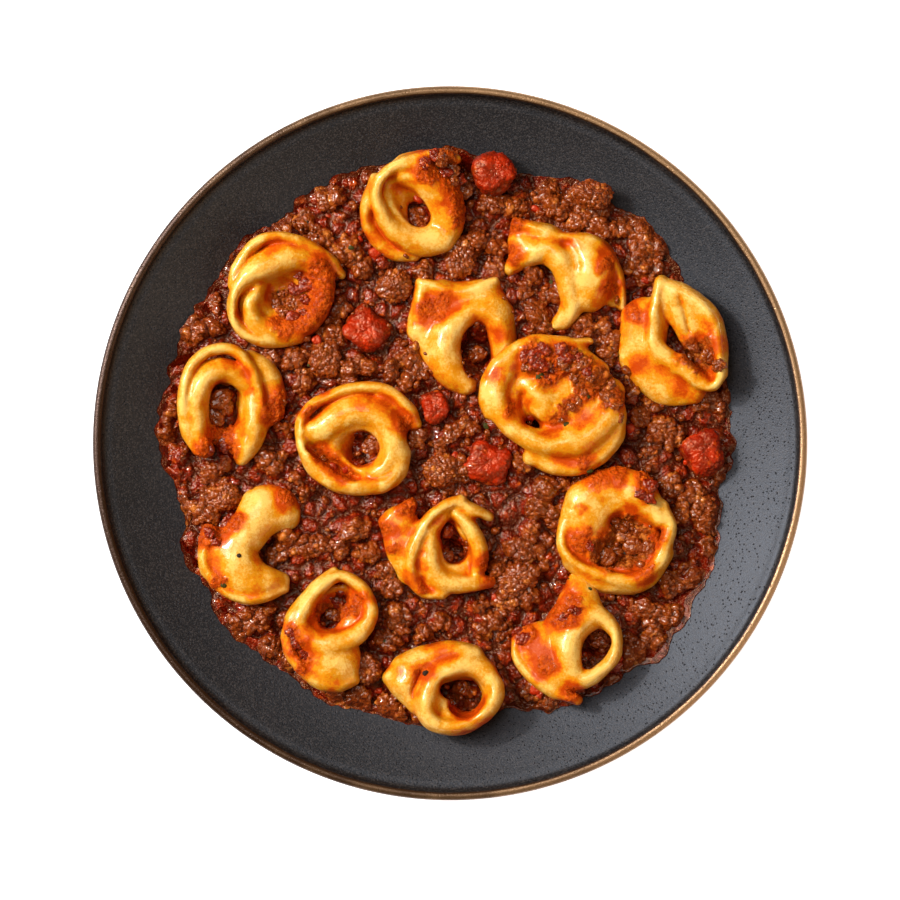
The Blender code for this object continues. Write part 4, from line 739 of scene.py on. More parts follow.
# Surface of the region where the field is below 0: each grid cell that it passes through gets one point, the
# mean of its crossings on the cell's edges, and each crossed grid edge gets a face between the four cells
# round it.
def skinOf(field, grid):
    inside = field < 0
    size = tuple(n - 1 for n in field.shape)
    corner = lambda values, step: values[tuple(slice(s, s + n) for s, n in zip(step, size))]
    count = sum(corner(inside, step).astype(int) for step in np.ndindex(2, 2, 2))
    cells = np.argwhere((count > 0) & (count < 8))
    number = np.full(size, -1)
    number[tuple(cells.T)] = np.arange(len(cells))
    total, crossed = np.zeros((len(cells), 3)), np.zeros((len(cells), 1))
    for step in np.ndindex(2, 2, 2):
        for axis in range(3):
            if step[axis]:
                continue
            far = np.array(step) + np.eye(3, dtype=int)[axis]
            one = field[tuple((cells + step).T)]
            other = field[tuple((cells + far).T)]
            hit = ((one < 0) != (other < 0))[:, None]
            share = np.where(hit[:, 0], one / np.where(one == other, 1, one - other), 0)[:, None]
            total += hit * (np.array(step) + share * (far - np.array(step)))
            crossed += hit
    points = (cells + total / crossed) * dough["cell"] + [axis[0] for axis in grid]
    faces = []
    for axis in range(3):
        low, high = [slice(1, n) for n in size], [slice(1, n) for n in size]
        low[axis], high[axis] = slice(0, size[axis]), slice(1, size[axis] + 1)
        here, there = inside[tuple(low)], inside[tuple(high)]
        edge = np.argwhere(here != there)
        leaving = here[tuple(edge.T)]
        edge += np.array([int(n != axis) for n in range(3)])
        side, up = np.eye(3, dtype=int)[[(axis + 1) % 3, (axis + 2) % 3]]
        ring = np.stack([number[tuple((edge - back).T)] for back in (side + up, up, 0 * up, side)], -1)
        faces.append(np.where(leaving[:, None], ring, ring[:, ::-1]))
    return points, np.vstack(faces)


# All strokes of one tortellino in turn, and the skin round what is left.
def shapeDough(strokes):
    rows = np.array([row for kind, _, line in strokes if kind != "cut" for row in line])
    low = (rows[:, :3] - rows[:, [3, 3, 4]]).min(0) - dough["room"]
    high = (rows[:, :3] + rows[:, [3, 3, 4]]).max(0) + dough["room"]
    grid = [np.arange(a, b, dough["cell"]) for a, b in zip(low, high)]
    field = np.full([len(axis) for axis in grid], 9.0, np.float32)
    for kind, join, line in strokes:
        stroke, join = strokeField(grid, line, kind == "ring"), join + dough["join"]
        field = -softMin(-field, stroke, join) if kind == "cut" else softMin(field, stroke, join)
    return skinOf(field, grid)


# Every point moves half way to the mean of its neighbours, a number of times.
def relaxed(points, edges, times):
    first, second = edges.T
    share = np.bincount(edges.ravel(), minlength=len(points))[:, None]
    for _ in range(times):
        around = [np.bincount(first, points[second, n], len(points))
                  + np.bincount(second, points[first, n], len(points)) for n in range(3)]
        points = 0.5 * points + 0.5 * np.stack(around, -1) / share
    return points


# The mesh's own normal at every point.
def normalsOf(mesh):
    normals = np.zeros(len(mesh.vertices) * 3, np.float32)
    mesh.vertex_normals.foreach_get("vector", normals)
    return normals.reshape(-1, 3).astype(float)


# Turns by which a piece lies on the plate's slope, its outer side higher.
def slopeTurn(at):
    radius = math.hypot(*at)
    rise = math.atan2(plateInside(radius + 15) - plateInside(radius - 15), 30)
    return np.array(Matrix.Rotation(-rise, 3, Vector((-at[1], at[0], 0)).normalized()))


# The highest surface over each square: millimetres a square, half width covered and squares across.
topMap = {"step": 0.5, "half": 110, "count": 440}
topMap["height"] = np.full((topMap["count"], topMap["count"]), -9.0)


# Row and column of the square that each place is over.
def topSquare(places):
    square = ((places[:, :2] + topMap["half"]) / topMap["step"]).astype(int).clip(0, topMap["count"] - 1)
    return square[:, 0], square[:, 1]


# Keeps the highest surface seen so far over each square.
def markTop(points):
    np.maximum.at(topMap["height"], topSquare(points), points[:, 2])


# The highest surface over each place, and where nothing is marked 1 mm below the heap's level.
def topHeight(places):
    return np.maximum(topMap["height"][topSquare(places)], heapLevel(*places.T) - 1)


# A bell of height 1 over each row's place, as wide as its radius, the highest of them counting.
def highestBell(places, rows):
    total = np.zeros(len(places))
    for x, y, radius, strength in rows:
        away = ((places - (x, y)) ** 2).sum(1) / radius**2
        total = np.maximum(total, strength * np.exp(-(away**1.5)))
    return total


# Makes one tortellino, laid on the plate's slope and fitted to its node's box. Ragu stands on it where it is
# covered. Sauce stains it near the heap, round what covers it and at listed spots; its creases darken as
# sauce and painted shade, its steep sides as painted shade, and its ridges stay paler as painted light.
def buildTortellino(number, shape):
    name = f"tortellino_{number:02d}"
    low, high = nodeBox(name)
    middle = (low + high) / 2
    points, quads = shapeDough(shape["strokes"])
    sides = np.vstack([quads[:, [n, (n + 1) % 4]] for n in range(4)])
    edges = np.unique(np.sort(sides, 1), axis=0)
    points = relaxed(points, edges, dough["relax"])
    softer = relaxed(points, edges, dough["relaxMore"])
    flat = points[:, :2].copy()
    points += np.stack([dough["wrinkle"] * softNoise(points, 5, number + n)
                        + dough["fineWrinkle"] * softNoise(points, 2.4, number + n) for n in range(3)], -1)
    lean = slopeTurn(middle[:2])
    lying, softLying = points @ lean.T, softer @ lean.T
    scale = (high - low) / (lying.max(0) - lying.min(0))
    softLying = low + (softLying - lying.min(0)) * scale
    lying = low + (lying - lying.min(0)) * scale
    mesh = fillMesh(f"pasta_{number:02d}", lying, quads)
    normals = normalsOf(mesh)
    hollow = ((softLying - lying) * normals).sum(1)  # above 0 in creases, below 0 on ridges
    warped = flat + np.stack([1.3 * softNoise(lying, 3.4, 50 + n) + 0.6 * softNoise(lying, 1.5, 53 + n)
                              for n in (1, 2)], -1)  # so that the edges of sauce are ragged
    facingUp = smoothStep((normals[:, 2] + 0.15) / 0.5)
    cover, thick, meat, halo = np.zeros((4, len(lying)))
    for x, y, radius, deep, share in shape["cover"]:
        away = np.hypot(warped[:, 0] - x, warped[:, 1] - y)
        part = smoothStep((radius - away) / 2.4 + 0.5) * facingUp
        meat = np.where(part > cover, share, meat)
        cover = np.maximum(cover, part)
        halo = np.maximum(halo, smoothStep((radius + 1.8 - away) / 4 + 0.5))
        thick = np.maximum(thick, deep * part)
    big, _ = grains(lying, 2.1, 11)
    small, tint = grains(lying, 1.25, 21)
    lying = lying + normals * (thick * (0.9 * big + 0.8 * small - 0.2))[:, None]
    level = heapLevel(lying[:, 0], lying[:, 1])
    near = smoothStep((level + 2.6 - lying[:, 2]) / 3.6)
    # This mask is real sauce stain near the heap, round covers and at the listed spots, plus painted shade
    # that deepens creases (partly sauce gathered there) and steep sides, and painted light that leaves ridges
    # paler.
    film = np.clip(hollow / 0.5, 0, 1) + 0.85 * near + highestBell(warped, shape["film"])
    film += 0.25 * softNoise(lying, 6, 5) - 0.3 * np.clip(-hollow / 0.5, 0, 1) + 0.7 * halo
    film += 0.6 * np.clip(1 - normals[:, 2], 0, 1)
    # gap is painted shade in the creases between the grains of what covers it.
    gap = 0.75 * smoothStep((0.72 - (0.45 * big + 0.55 * small)) / 0.45)
    mesh.vertices.foreach_set("co", (lying * mm).astype(np.float32).ravel())
    mesh.update()
    markTop(lying)
    addPiece(f"pasta_{number:02d}", mesh, finishes["dough"], [name],
             {"film": film, "cover": cover, "meat": meat, "tint": tint, "gap": gap})
    return len(quads) * 2


# The ragu heap: a round outline with waves (how many, share of the radius, phase), two wider spreads (turn,
# width of turn, millimetres) and a ragged edge; a low crown; swells and lumps over all of it; domes where
# mince lies in clumps; and three sizes of grain. clumps are x, y, radius of brown mince, reds of sauce.
heap = {"radius": 92.6, "waves": ((1, 0.010, 5.3), (5, 0.006, 6.0), (7, 0.006, 0.9), (9, 0.010, 5.1),
                                  (10, 0.006, 4.5), (12, 0.006, 2.0), (16, 0.009, 1.8)),
        "spread": ((0.76, 0.18, 4), (5.6, 0.32, 5)), "edge": 1.2, "crown": 2.6, "sunk": 1.3,
        "across": 284,  # grid points along each side of a quarter
        "swell": 0.7, "swellSize": 13, "lump": 2.1, "lumpSize": 5.6, "lumpSunk": 1.2,
        "clumpRise": 0.72, "clumpSunk": 0.14, "grainSizes": (3.0, 1.7, 1.0),
        "edgeHeight": 1.8, "edgeSlope": 1.1,  # the most it may rise at its edge, and for each millimetre in
        "clumps": readRows("""
           -39 80 5, -41.5 67 4, -33 63 6, -29 57 4.5, -47 72 4.5, -55 72 5, -83.5 36.5 5, -76 38 4,
            -77 46 3.5, -9 55.5 3.5, -36 44 4, -38 36 5, -41 30 5, -50 27 4.5, -47 21 4.5, -58 28 3.5,
            -32 23 4.5, -27 25 4, -19 24 4, -12 28 4.5, -11 23 4, -14 19 3, -74 14 4.5, -76 8.6 3.6,
            -11 71.5 4.5, -47 51 3, -1 65 5, -10 2 3.5, -3 0 3, -53 5 3, -92 3 4, -92 9 3.6, 0 93 4, 5 85 3,
            14 78 5, 21 77 4.5, 31 82 4.5, 34 77 5, 42 80 4.8, 50 76 3, 46 74 5, 41.5 71.5 4.5, 50 70 4.5,
            56 70 4, 63 68 5, 61 62 4, 66 64 3.4, 59 57 4, 65 56 5, 68 53 3, 8 65 5.5, 15 64 4.5, 16 57 4,
            27 55 4, 25 50 3.6, 33 48 4, 28 42 5, 30 38 3, 44 38 5, 49 37 3, 52 34 3.6, 51 29 4, 59 18 3,
            79 33 3.6, 84 28 4.4, 79 28 3.4, 5 5 4, 0 3 3, 12 10 3, 69 4 4.5, 73 2 3.6, 83 14 5, 88 12 4,
            90 17 4, 62 8 4, 66 12 3, -89 -3 4, -90 -10 4, -74 -7 3.6, -78 -9 4, -76 -17 5.5, -80 -22 5,
            -85 -21 4, -58 -6 5, -50 -12 3, -47 -16 3, -31 -28 5, -53 -31 5, -56 -35 4, -46 -33 4,
            -41 -33 4, -35 -35 4, -26 -36 4.5, -20 -42 4, -18 -47 3.6, -17 -56 5, -8 -62 4, -3 -58 3.6,
            -20 -64 4, -67 -57 5, -61 -57 4, -69 -62 3, -58 -66 5, -53 -71 4, -37 -82 4, -29 -82 5,
            -32 -87 3.6, -19 -86 5, -8 -90 5, -88 -27 4, -25 -.5 4, 3 -9 5, 24 -6 3.6, 31 -15 5, 29 -21 5,
            34 -24 4, 26 -28 4, 22 -34 5, 27 -33 4, 16 -42 5, 24 -42 5, 18 -51 5, 26 -50 4.5, 10 -53 3.6,
            11 -60 5, 16 -57 3.6, 44 -11 4, 38 -13 3, 56 -28 4, 60 -32 5, 51 -38 4, 55 -34 4, 71 -14 4,
            80 -17 5, 76 -19 3.6, 83 -25 5, 74 -23 4, 88 -10 4, 71 -45 5, 76 -43 4, 66 -56 4, 62 -53 4,
            60 -66 5, 65 -63 3, 47 -46 4, 31 -85 4, 27 -80 3.6, 33 -88 3, 30 -39 3, 49 -63 3.6, 4 -80 4,
            67 64 4, 62 72 4, 72 -56 4.4, 67 -63 4, 60 -72 4, 84 -34 4, 80 -42 4, 52 -79 4"""),
        "reds": readRows("""
           -27 37 9, -5 11 7, 14 -8 9, 82 -3 8, 14 87 8, -42 -20 7, -33 -21 6, -72 -3 7, -62 -14 6,
            -58 14 6, -90 -3 5, -90 -11 5, -84 -40 6, -75 -55 5, -22 -78 4, 3 -55 6, -9 -53 5, -37 -40 5,
            -48 -44 6, 2 80 6, 2 72 4, 22 -25 7, 70 -33 6, 79 -37 7, 62 -47 5, -53 44 7, -80 48 5, -88 22 6,
            -64 66 6, -36 72 5, 53 -4 6, 8 0 5, -50 2 4, -20 -25 6, 60 25 5""")}


# Distance of the heap's edge from the middle, by the turn in radians.
def heapOutline(turn):
    ring = heap["radius"] * np.stack([np.cos(turn), np.sin(turn)], -1)
    ragged = 1.3 * softNoise(ring, 8, 81) + 1.1 * softNoise(ring, 4, 82) + 0.7 * softNoise(ring, 2, 83)
    for middle, wide, far in heap["spread"]:
        away = (turn - middle + fullTurn / 2) % fullTurn - fullTurn / 2
        ragged = ragged + far * np.exp(-((away / wide) ** 2))
    waved = sum(share * np.sin(waves * turn + phase) for waves, share, phase in heap["waves"])
    return heap["radius"] * (1 + waved) + ragged


# Height of the heap without its lumps: the plate's height at the outline, plus a crown that falls off as the
# fifth power of the way out.
def heapLevel(x, y):
    share = np.minimum(np.hypot(x, y) / heapOutline(np.arctan2(y, x)), 1)
    return plateInside(heap["radius"]) + heap["edge"] + heap["crown"] * (1 - share**5) - heap["sunk"]


# The heap's own ground: its level, broad swells, dips inside the tortellini, lumps and a dome over each
# clump. Also gives how far each point is on mince, and how far down in a crevice between lumps, from 0 to 1.
def heapGround(x, y):
    flat = np.stack([x, y], -1)
    ground, pool = heapLevel(x, y) + heap["swell"] * softNoise(flat, heap["swellSize"], 3), 0
    for number, shape in tortellini.items():
        low, high = nodeBox(f"tortellino_{number:02d}")
        for wellX, wellY, radius, deep in shape["well"]:
            away = np.hypot(x - (low[0] + high[0]) / 2 - wellX, y - (low[1] + high[1]) / 2 - wellY)
            within = np.exp(-((away / radius) ** 4))
            ground, pool = ground - deep * within, pool + (deep < 0) * within
    lump, _ = grains(flat, heap["lumpSize"], 31, 0.9)
    ground = ground + heap["lump"] * lump - heap["lumpSunk"]
    warpX, warpY = (1.5 * softNoise(flat, 3.6, 60 + n) + 0.9 * softNoise(flat, 1.8, 65 + n) for n in (1, 2))
    mince, base = 0.35 + 0.35 * softNoise(flat, 8, 9) - 0.5 * pool, ground
    for clumpX, clumpY, radius in heap["clumps"]:
        away = np.hypot(x + warpX - clumpX, y + warpY - clumpY) / radius
        dome = base + radius * (heap["clumpRise"] * np.sqrt(np.clip(1 - away**2, 0, 1)) - heap["clumpSunk"])
        ground = np.where(away < 1.1, softMax(ground, dome, 0.9), ground)
        mince = np.maximum(mince, 1.1 * smoothStep((1.15 - away) / 0.4))
    for redX, redY, radius in heap["reds"]:
        away = np.hypot(x + 2 * warpX - redX, y + 2 * warpY - redY) / radius
        mince = mince - 0.75 * np.exp(-(away**2))
    # crevice feeds the painted shade between lumps.
    crevice = smoothStep((0.8 - (ground - base)) / 0.9) * smoothStep((0.9 - lump) / 0.5)
    return ground, np.clip(mince, 0, 1), crevice


# One quarter of the heap. A square grid is laid over a quarter disc so that its cells keep about one size:
# the larger of the two grid shares is the way out, and their ratio the way round. Grains rise along the
# ground's normal and fade to nothing at the outline. A wall and an underside close the quarter.
def buildHeapQuarter(quarter):
    count = heap["across"]
    a, b = np.meshgrid(np.linspace(0, 1, count), np.linspace(0, 1, count), indexing="ij")
    out = np.maximum(a, b)
    safe = np.maximum(out, 1e-9)
    bend = np.where(a >= b, fullTurn / 8 * b / safe, fullTurn / 4 - fullTurn / 8 * a / safe)
    turn = bend + quarter * fullTurn / 4
    outline = heapOutline(turn)
    x, y = out * outline * np.cos(turn), out * outline * np.sin(turn)
    ground, mince, crevice = heapGround(x, y)
    reach = 0.05
    slopeX = (heapGround(x + reach, y)[0] - ground) / reach
    slopeY = (heapGround(x, y + reach)[0] - ground) / reach
    normal = np.stack([-slopeX, -slopeY, np.ones_like(x)], -1)
    normal /= np.sqrt((normal**2).sum(-1))[..., None]
    base = np.stack([x, y, ground], -1)
    bent = base + 0.5 * np.stack([softNoise(base, 1.9, 70 + n) for n in range(3)], -1)
    (big, bigTint), (middle, tint), (small, _) = (grains(bent, size, seed)
                                                  for size, seed in zip(heap["grainSizes"], (41, 43, 47)))
    depth = (0.2 + 0.6 * mince) * big + (0.3 + 0.75 * mince) * middle + (0.34 + 0.1 * mince) * small - 1.05
    place = base + normal * depth[..., None]  # grains are taller on mince
    edgeGap = (1 - out) * outline
    oil = np.clip(0.5 + 1.1 * softNoise(base[..., :2], 7, 85), 0, 1.4)  # width of the thin skirt of oil
    inward = np.clip((edgeGap - oil) / 3, 0, 1)
    fade = np.sqrt(1 - (1 - inward) ** 2)
    floor = plateInside(np.hypot(place[..., 0], place[..., 1])) + 0.3
    rise, most = np.maximum(place[..., 2] - floor, 0.25), heap["edgeHeight"] + heap["edgeSlope"] * edgeGap
    place[..., 2] = floor + rise / (1 + (rise / most) ** 4) ** 0.25 * fade
    start = np.stack([x, y], -1)
    place[..., :2] = start + (place[..., :2] - start) * np.clip(edgeGap / 1.5, 0, 1)[..., None]
    # gap is painted shade in the creases between grains and the crevices between lumps; it also darkens the
    # colour within about 3.5 mm of the outline.
    gap = 0.95 * smoothStep((0.7 - (0.35 * big + 0.42 * middle + 0.23 * small)) / 0.46) + 0.95 * crevice
    gap = np.clip(gap + 0.45 * smoothStep(1 - edgeGap / 3.5), 0, 1)
    points = place.reshape(-1, 3)
    number = np.arange(count * count).reshape(count, count)
    border = np.concatenate([number[:-1, 0], number[-1, :-1], number[:0:-1, -1], number[0, :0:-1]])
    under = points[border].copy()
    under[:, 2] = plateInside(np.hypot(under[:, 0], under[:, 1])) + 0.1
    start = len(points)
    lower = start + np.arange(len(border))
    wall = np.stack([border, np.roll(border, -1), np.roll(lower, -1), lower], -1)
    middlePoint = under.mean(0) * (1, 1, 0) + (0, 0, plate["floorHeight"] + 0.4)
    points = np.vstack([points, under, middlePoint])
    faces = gridFaces(count, count)
    shape = (points, np.vstack([faces, wall[:, ::-1]]), fanFaces(start + len(border), lower)[:, ::-1])
    values = {"meat": mince.ravel(), "gap": gap.ravel(), "tint": (0.65 * tint + 0.35 * bigTint).ravel()}
    values = {label: np.append(numbers, np.zeros(len(border) + 1)) for label, numbers in values.items()}
    markTop(points[:start])
    name = f"ragu_heap_{quarter + 1}"
    addPiece(name, fillMesh(name, *joinShapes([shape])), finishes["ragu"], ["sauce"], values)


for quarter in range(4):
    buildHeapQuarter(quarter)
print("ragu heap made")

pastaFaces = [buildTortellino(number, shape) for number, shape in tortellini.items()]
print("tortellini made, triangles in each:", pastaFaces)


# Lumps as closed balls of rings: directions over a ball, bulged by soft noise, stretched to each lump's half
# sizes, turned and covered in grains. A high corner power squares the ball, as a diced piece is.
def lumpShapes(middles, halves, turns, seed, kind):
    around, rings, corner = kind["around"], kind["rings"], kind["corner"]
    turn = np.arange(around) / around * fullTurn
    rise = np.linspace(-1, 1, rings + 2)[1:-1, None] * fullTurn / 4
    ball = np.stack([np.cos(rise) * np.cos(turn), np.cos(rise) * np.sin(turn), np.sin(rise) + 0 * turn], -1)
    ball = np.vstack([ball.reshape(-1, 3), (0, 0, -1), (0, 0, 1)])
    ball /= (np.abs(ball) ** corner).sum(-1, keepdims=True) ** (1 / corner)
    offset = scattered(np.arange(len(middles))[:, None, None] * np.ones((1, 1, 2)), seed)[:, 0]
    swell = softNoise(ball[None] + 9.7 * offset[:, None, None], 0.9, seed)
    body = ball[None] * (1 + kind["bulge"] * swell[..., None])
    local = body * halves[:, None]
    cosine, sine = np.cos(turns)[:, None], np.sin(turns)[:, None]
    spun = np.stack([local[..., 0] * cosine - local[..., 1] * sine,
                     local[..., 0] * sine + local[..., 1] * cosine, local[..., 2]], -1)
    place = spun + middles[:, None]
    outward = spun / np.sqrt((spun**2).sum(-1, keepdims=True))
    (size, high), (fineSize, fineHigh) = kind["grain"], kind["fine"]
    big, bigTint = grains(place, size, seed + 3)
    small, tint = grains(place, fineSize, seed + 5)
    place = place + outward * (high * (big - 0.8) + fineHigh * (small - 0.7))[..., None]
    faces = gridFaces(rings, around, wrapColumns=True)
    bottom, top = rings * around, rings * around + 1
    fans = np.vstack([fanFaces(bottom, np.arange(around))[:, ::-1],
                      fanFaces(top, np.arange(around) + (rings - 1) * around)])
    start = (np.arange(len(middles)) * len(ball))[:, None, None]
    # gap is painted shade in the creases between grains.
    gap = 0.85 * smoothStep((0.7 - (0.4 * big + 0.6 * small)) / 0.5)
    values = {"gap": gap.ravel(), "tint": (0.6 * tint + 0.4 * bigTint).ravel()}
    shape = (place.reshape(-1, 3), (faces[None] + start).reshape(-1, 4), (fans[None] + start).reshape(-1, 3))
    return shape, values


# The largest lumps of mince and the dice of tomato fill their nodes' boxes. turns are in degrees by number.
lumps = {
    "mince_lump_{:02d}": {"node": "meat_lump_{:02d}", "finish": "ragu", "slot": "meat", "seed": 100,
                          "corner": 2.3, "grain": (2.9, 1.1), "fine": (1.7, 1.1), "meat": 0.95, "bulge": 0.24,
                          "turns": (20, 10, 40, 50, -20, 30, 35, -20)},
    "diced_tomato_{}": {"node": "tomato_{}", "finish": "tomato", "slot": "tomato", "seed": 300,
                        "corner": 3.0, "grain": (4.0, 0.8), "fine": (1.4, 0.55), "meat": 0.42, "bulge": 0.22,
                        "turns": (35, 50, 15, 70, 20)}}
lumpGrid = {"around": 128, "rings": 66}


# One lump, stretched to its node's box. On tomato the meat share rises towards the foot, as ragu stains it.
def buildLump(name, number, kind, turn):
    node, seed = kind["node"].format(number), kind["seed"] + 10 * number
    low, high = nodeBox(node)
    spin = math.radians(turn)
    size = (high - low) / 2
    spread = abs(math.cos(spin)) + abs(math.sin(spin)) * 0.5  # a turned box is wider than the lump in it
    half = np.array([[size[0] / spread ** 0.3, size[1] / spread ** 0.3, size[2]]])
    shape, values = lumpShapes(((low + high) / 2)[None], half, np.array([spin]), seed, {**kind, **lumpGrid})
    points, quads, triangles = joinShapes([shape])
    scale = (high - low) / (points.max(0) - points.min(0))
    points = low + (points - points.min(0)) * scale
    markTop(points)
    rise = (points[:, 2] - low[2]) / (high[2] - low[2])
    stain = (kind["meat"] < 0.5) * 1.2 * smoothStep((0.85 - rise) / 0.5)
    meat = kind["meat"] + 0.25 * softNoise(points, 4, seed) + stain
    addPiece(name, fillMesh(name, points, quads, triangles), finishes[kind["finish"]], [node],
             {**values, "meat": np.clip(meat, 0, 1)})


for pattern, kind in lumps.items():
    for number, turn in enumerate(kind["turns"], 1):
        buildLump(pattern.format(number), number, kind, turn)
print("lumps and tomato made")


# Loose things on top, each kind one joined mesh of few-sided lumps: crumbs of mince, red bits, mince and
# thick sauce that lie on the pasta, herb and pepper. placed rows are listed x, y and half size, and the rest
# fall at random on the heap. flat is height over width, grain and fine the size and height of their grains.
loose = {
    "crumbs": {"finish": "ragu", "slot": "meat", "count": 900, "size": (0.5, 1.4), "around": 8, "rings": 5,
               "seed": 5, "meat": 0.95, "grain": (1.0, 0.2)},
    "tomato_bits": {"finish": "tomato", "slot": "tomato", "count": 46, "size": (1.0, 2.2), "around": 14,
                    "rings": 8, "seed": 6, "meat": 0.2, "flat": 0.7, "grain": (1.6, 0.2), "corner": 3.5},
    "mince_on_pasta": {"finish": "ragu", "slot": "meat", "around": 40, "rings": 22, "seed": 7, "meat": 0.9,
                       "flat": 0.5, "grain": (1.9, 0.9), "fine": (1.2, 0.5), "placed": readRows("""
       42 25 1.8, 39.6 21 1.5, 45 21 1.6, 50 15 2.2, 53 12 1.8, 43 16 1.6, 39 11.6 1.4, 35.6 7.6 1.2,
        47 18 1.5, 51.6 18.6 1.6, 54.6 8 1.4, 41 13.6 1.4, 37.6 24 1.4, -3 91 3, 0 88 2.4, 1 84 2.2,
        4 82 2.6, 78 31 2.4, 83 28 3, 86 25 2.2, 57 -30 3.2, 60 -33 3, 51 -37 3, 64 -34 2.2, -74 14 3.4,
        -76 8 2.6, -11 72 3, -26 -1 2.8, 49 -64 2.4, 5 -80 2.6, 9 29 2.6, -1 -37 2.2, -38 -56 2.4, -56 45 2,
        -53.6 42.4 1.8, -51 45.4 1.9, -54.4 48 1.5, 31 25 1.8, 28 28 1.5, 36 26 2, 40 29 1.5, 24 24 1.4""")},
    "sauce_on_pasta": {"finish": "ragu", "slot": "meat_sauce", "around": 36, "rings": 20, "seed": 12,
                       "meat": 0.2, "flat": 0.4, "grain": (1.8, 0.9), "fine": (1.1, 0.5),
                       "placed": readRows("""
       27 28 2.4, 30 30 2, 33 28 2.4, 29 25 2.6, 32.6 24 2.2, 26 24.4 2, 35.6 30 1.9, 31 21 1.8,
        37 27.4 2.2, 24 27.6 1.8, 41 27 1.8, 44 23 2, -50 50 2.2, -47 46.6 2.2, -46.4 51 2, -49 54 1.8,
        -51 40.4 1.9, -47 42 1.8, -8 89 2.2, -5 92 2, -2 87 2.2, 3 85 1.8, 24 -63 2, 22 -61.4 1.8,
        37 -56 1.8, 40 -54 1.8, -77 -29 2.2, -73.6 -27 2, -75 -31.6 1.8, -72 -25 1.6, 63.6 -14 2.2,
        64 -18 1.9, 61 -16.4 1.7, -77 -2.4 1.9, -73 -2 1.7, -49.6 -64 1.9, -47 -68 1.7, -50.6 -60.6 1.7,
        45 -33 1.6""")},
    "herbs": {"finish": "herb", "slot": "meat_sauce", "count": 14, "size": (0.35, 0.7), "around": 10,
              "rings": 5, "seed": 8, "flat": 0.35, "grain": (0.8, 0.15), "placed": readRows("""
       28.7 21.5 1.1, 44 15 .9, 37.4 6 .9, 11.8 5.6 1.1, 45 -9 1, 45 -47 .9, -72.8 -45.6 .9, -47.6 46 .8,
        -32 63 .8, -4 89 .8""")},
    "pepper": {"finish": "pepper", "slot": "meat_sauce", "count": 26, "size": (0.25, 0.5), "around": 8,
               "rings": 5, "seed": 9, "flat": 0.8, "grain": (0.5, 0.1), "placed": readRows("""
       63.8 -18.6 .9, 84.5 25.6 .8, -67.6 -36 .7, -7.8 -73.6 1, 57 -35.6 .7, 70 60 .5""")}}

# What a kind has unless it says otherwise. reach is how far out the random ones fall, and clear is the height
# over the heap's level that counts as pasta.
looseUsual = {"count": 0, "size": (1, 2), "meat": 0.0, "flat": 1.0, "fine": (0.8, 0.1), "corner": 2.2,
              "bulge": 0.3, "placed": [], "reach": 88, "clear": 3.6}


# Each lump rests on the highest surface below its middle, sunk in by up to a quarter of its height.
def buildLoose(name, kind):
    cells = np.stack([np.arange(kind["count"]), np.full(kind["count"], kind["seed"])], -1).astype(float)
    turn, out, big, sink = (scattered(cells, kind["seed"] * 10 + n) for n in range(4))
    radius = kind["reach"] * np.sqrt(out)
    spots = np.stack([radius * np.cos(turn * fullTurn), radius * np.sin(turn * fullTurn)], -1)
    low, high = kind["size"]
    half = low + (high - low) * big**2
    onHeap = topHeight(spots) < heapLevel(*spots.T) + kind["clear"]
    spots, half, sink = spots[onHeap], half[onHeap], sink[onHeap]
    if kind["placed"]:
        placed = np.array(kind["placed"])
        spots, half = np.vstack([placed[:, :2], spots]), np.concatenate([placed[:, 2], half])
        sink = np.concatenate([np.full(len(placed), 0.5), sink])
    height = topHeight(spots) + half * kind["flat"] * (0.5 * sink - 0.25)
    number = np.arange(len(spots))[:, None].astype(float)
    shapes = np.stack([0.75 + 0.6 * scattered(number, 90 + n) for n in range(3)], -1)
    halves = half[:, None] * shapes * (1, 1, kind["flat"])
    (points, quads, triangles), values = lumpShapes(np.column_stack([spots, height]), halves,
                                                    scattered(number, 95) * fullTurn, kind["seed"], kind)
    addPiece(name, fillMesh(name, points, quads, triangles), finishes[kind["finish"]], (),
             {**values, "meat": np.full(len(points), float(kind["meat"]))})


for name, kind in loose.items():
    buildLoose(name, {**looseUsual, **kind})
print("loose pieces made")


# Stage: a pale floor that glows, soft lights and a weak warm sky. Lights are name, place, width, watts and
# colour, and all lengths here are metres.
stage = {"lights": [("key", (-1.12, 0.42, 1.02), 0.8, 26, (1.0, 0.95, 0.88)),
                    ("spark", (-1.0, 0.5, 1.1), 0.09, 13, (1.0, 0.96, 0.88)),
                    ("top", (-0.40, 0.36, 1.40), 0.9, 9, (1.0, 0.95, 0.88)),
                    ("fill", (0.9, -0.6, 0.8), 1.0, 4.5, (1.0, 0.72, 0.46))],
         "sky": 0.09, "skyColour": (1, 0.76, 0.54, 1),
         "floorHalf": 12, "floorDrop": 0.0004, "floorGlow": 0.95,
         "lens": 90, "frameWidth": 0.2891, "moveY": -0.0022}


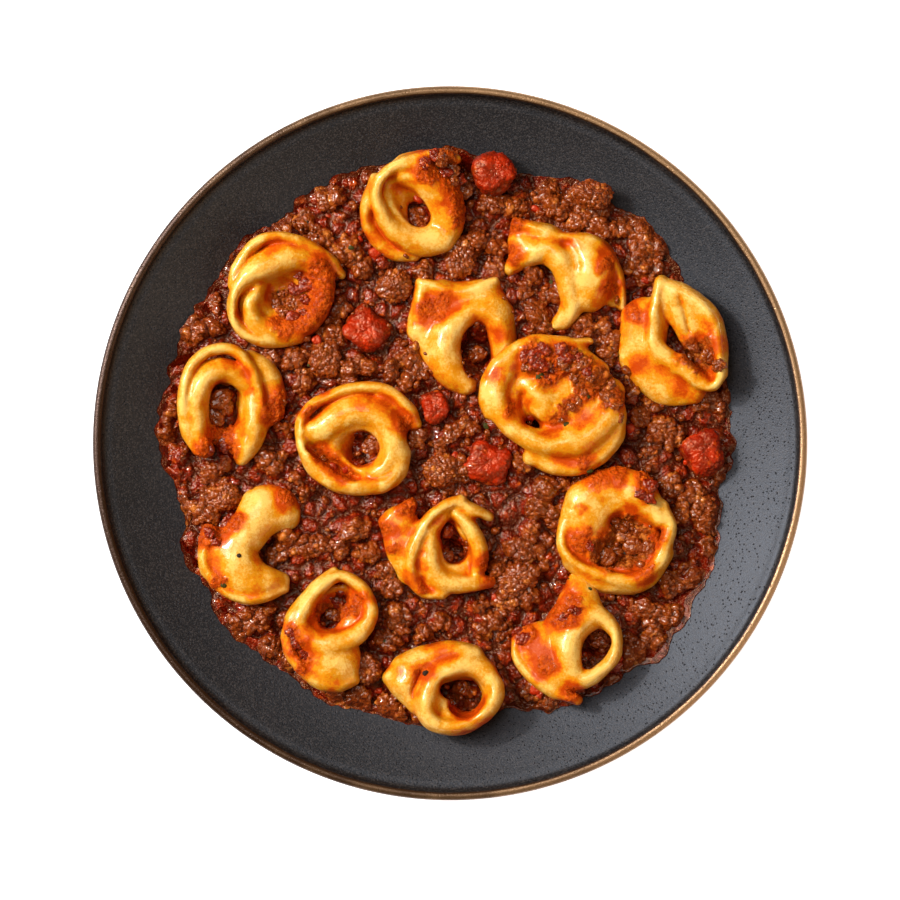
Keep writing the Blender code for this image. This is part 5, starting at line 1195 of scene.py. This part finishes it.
def buildStage():
    across = np.linspace(-stage["floorHalf"], stage["floorHalf"], 9)
    x, y = np.meshgrid(across, across, indexing="ij")
    points = np.stack([x, y, 0 * x - stage["floorDrop"]], -1).reshape(-1, 3) / mm
    mesh = fillMesh("floor", points, gridFaces(9, 9)[:, ::-1])
    floor = bpy.data.objects.new("floor", mesh)
    bpy.context.scene.collection.objects.link(floor)
    sheet = Finish("pale_floor", Roughness=0.8, Specular_IOR_Level=0.1)
    sheet.use("Base Color", sheet.blend(sheet.cloud(60, 2), (0.90, 0.90, 0.90), (0.93, 0.93, 0.93)))
    sheet.shader.inputs["Emission Color"].default_value = (1, 1, 1, 1)
    sheet.shader.inputs["Emission Strength"].default_value = stage["floorGlow"]
    mesh.materials.append(sheet.material)
    floor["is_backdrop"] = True
    for name, place, size, power, colour in stage["lights"]:
        light = bpy.data.lights.new(name, "AREA")
        light.shape, light.size, light.energy, light.color = "DISK", size, power, colour
        lamp = bpy.data.objects.new(name, light)
        bpy.context.scene.collection.objects.link(lamp)
        lamp.location = place
        lamp.rotation_euler = (-Vector(place)).to_track_quat("-Z", "Y").to_euler()
    world = bpy.data.worlds.new("studio")
    world.use_nodes = True
    sky = world.node_tree.nodes["Background"].inputs
    sky["Color"].default_value, sky["Strength"].default_value = stage["skyColour"], stage["sky"]
    bpy.context.scene.world = world
    bpy.context.scene.view_settings.view_transform = "Standard"


# Straight above the plate, so far off that the frame's width is right at the height of the rim.
def buildCamera():
    lens = bpy.data.cameras.new("camera")
    lens.lens, lens.sensor_width = stage["lens"], 36
    camera = bpy.data.objects.new("camera", lens)
    bpy.context.scene.collection.objects.link(camera)
    distance = stage["frameWidth"] * lens.lens / lens.sensor_width
    middle = (plateLow + plateHigh) / 2 * mm
    camera.location = (middle[0], middle[1] + stage["moveY"], plateHigh[2] * mm + distance)
    bpy.context.scene.camera = camera


buildStage()
buildCamera()
print("stage made")

{"cad": [list(corner) for corner in cadBox], "visual": [list(corner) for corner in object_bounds()]}
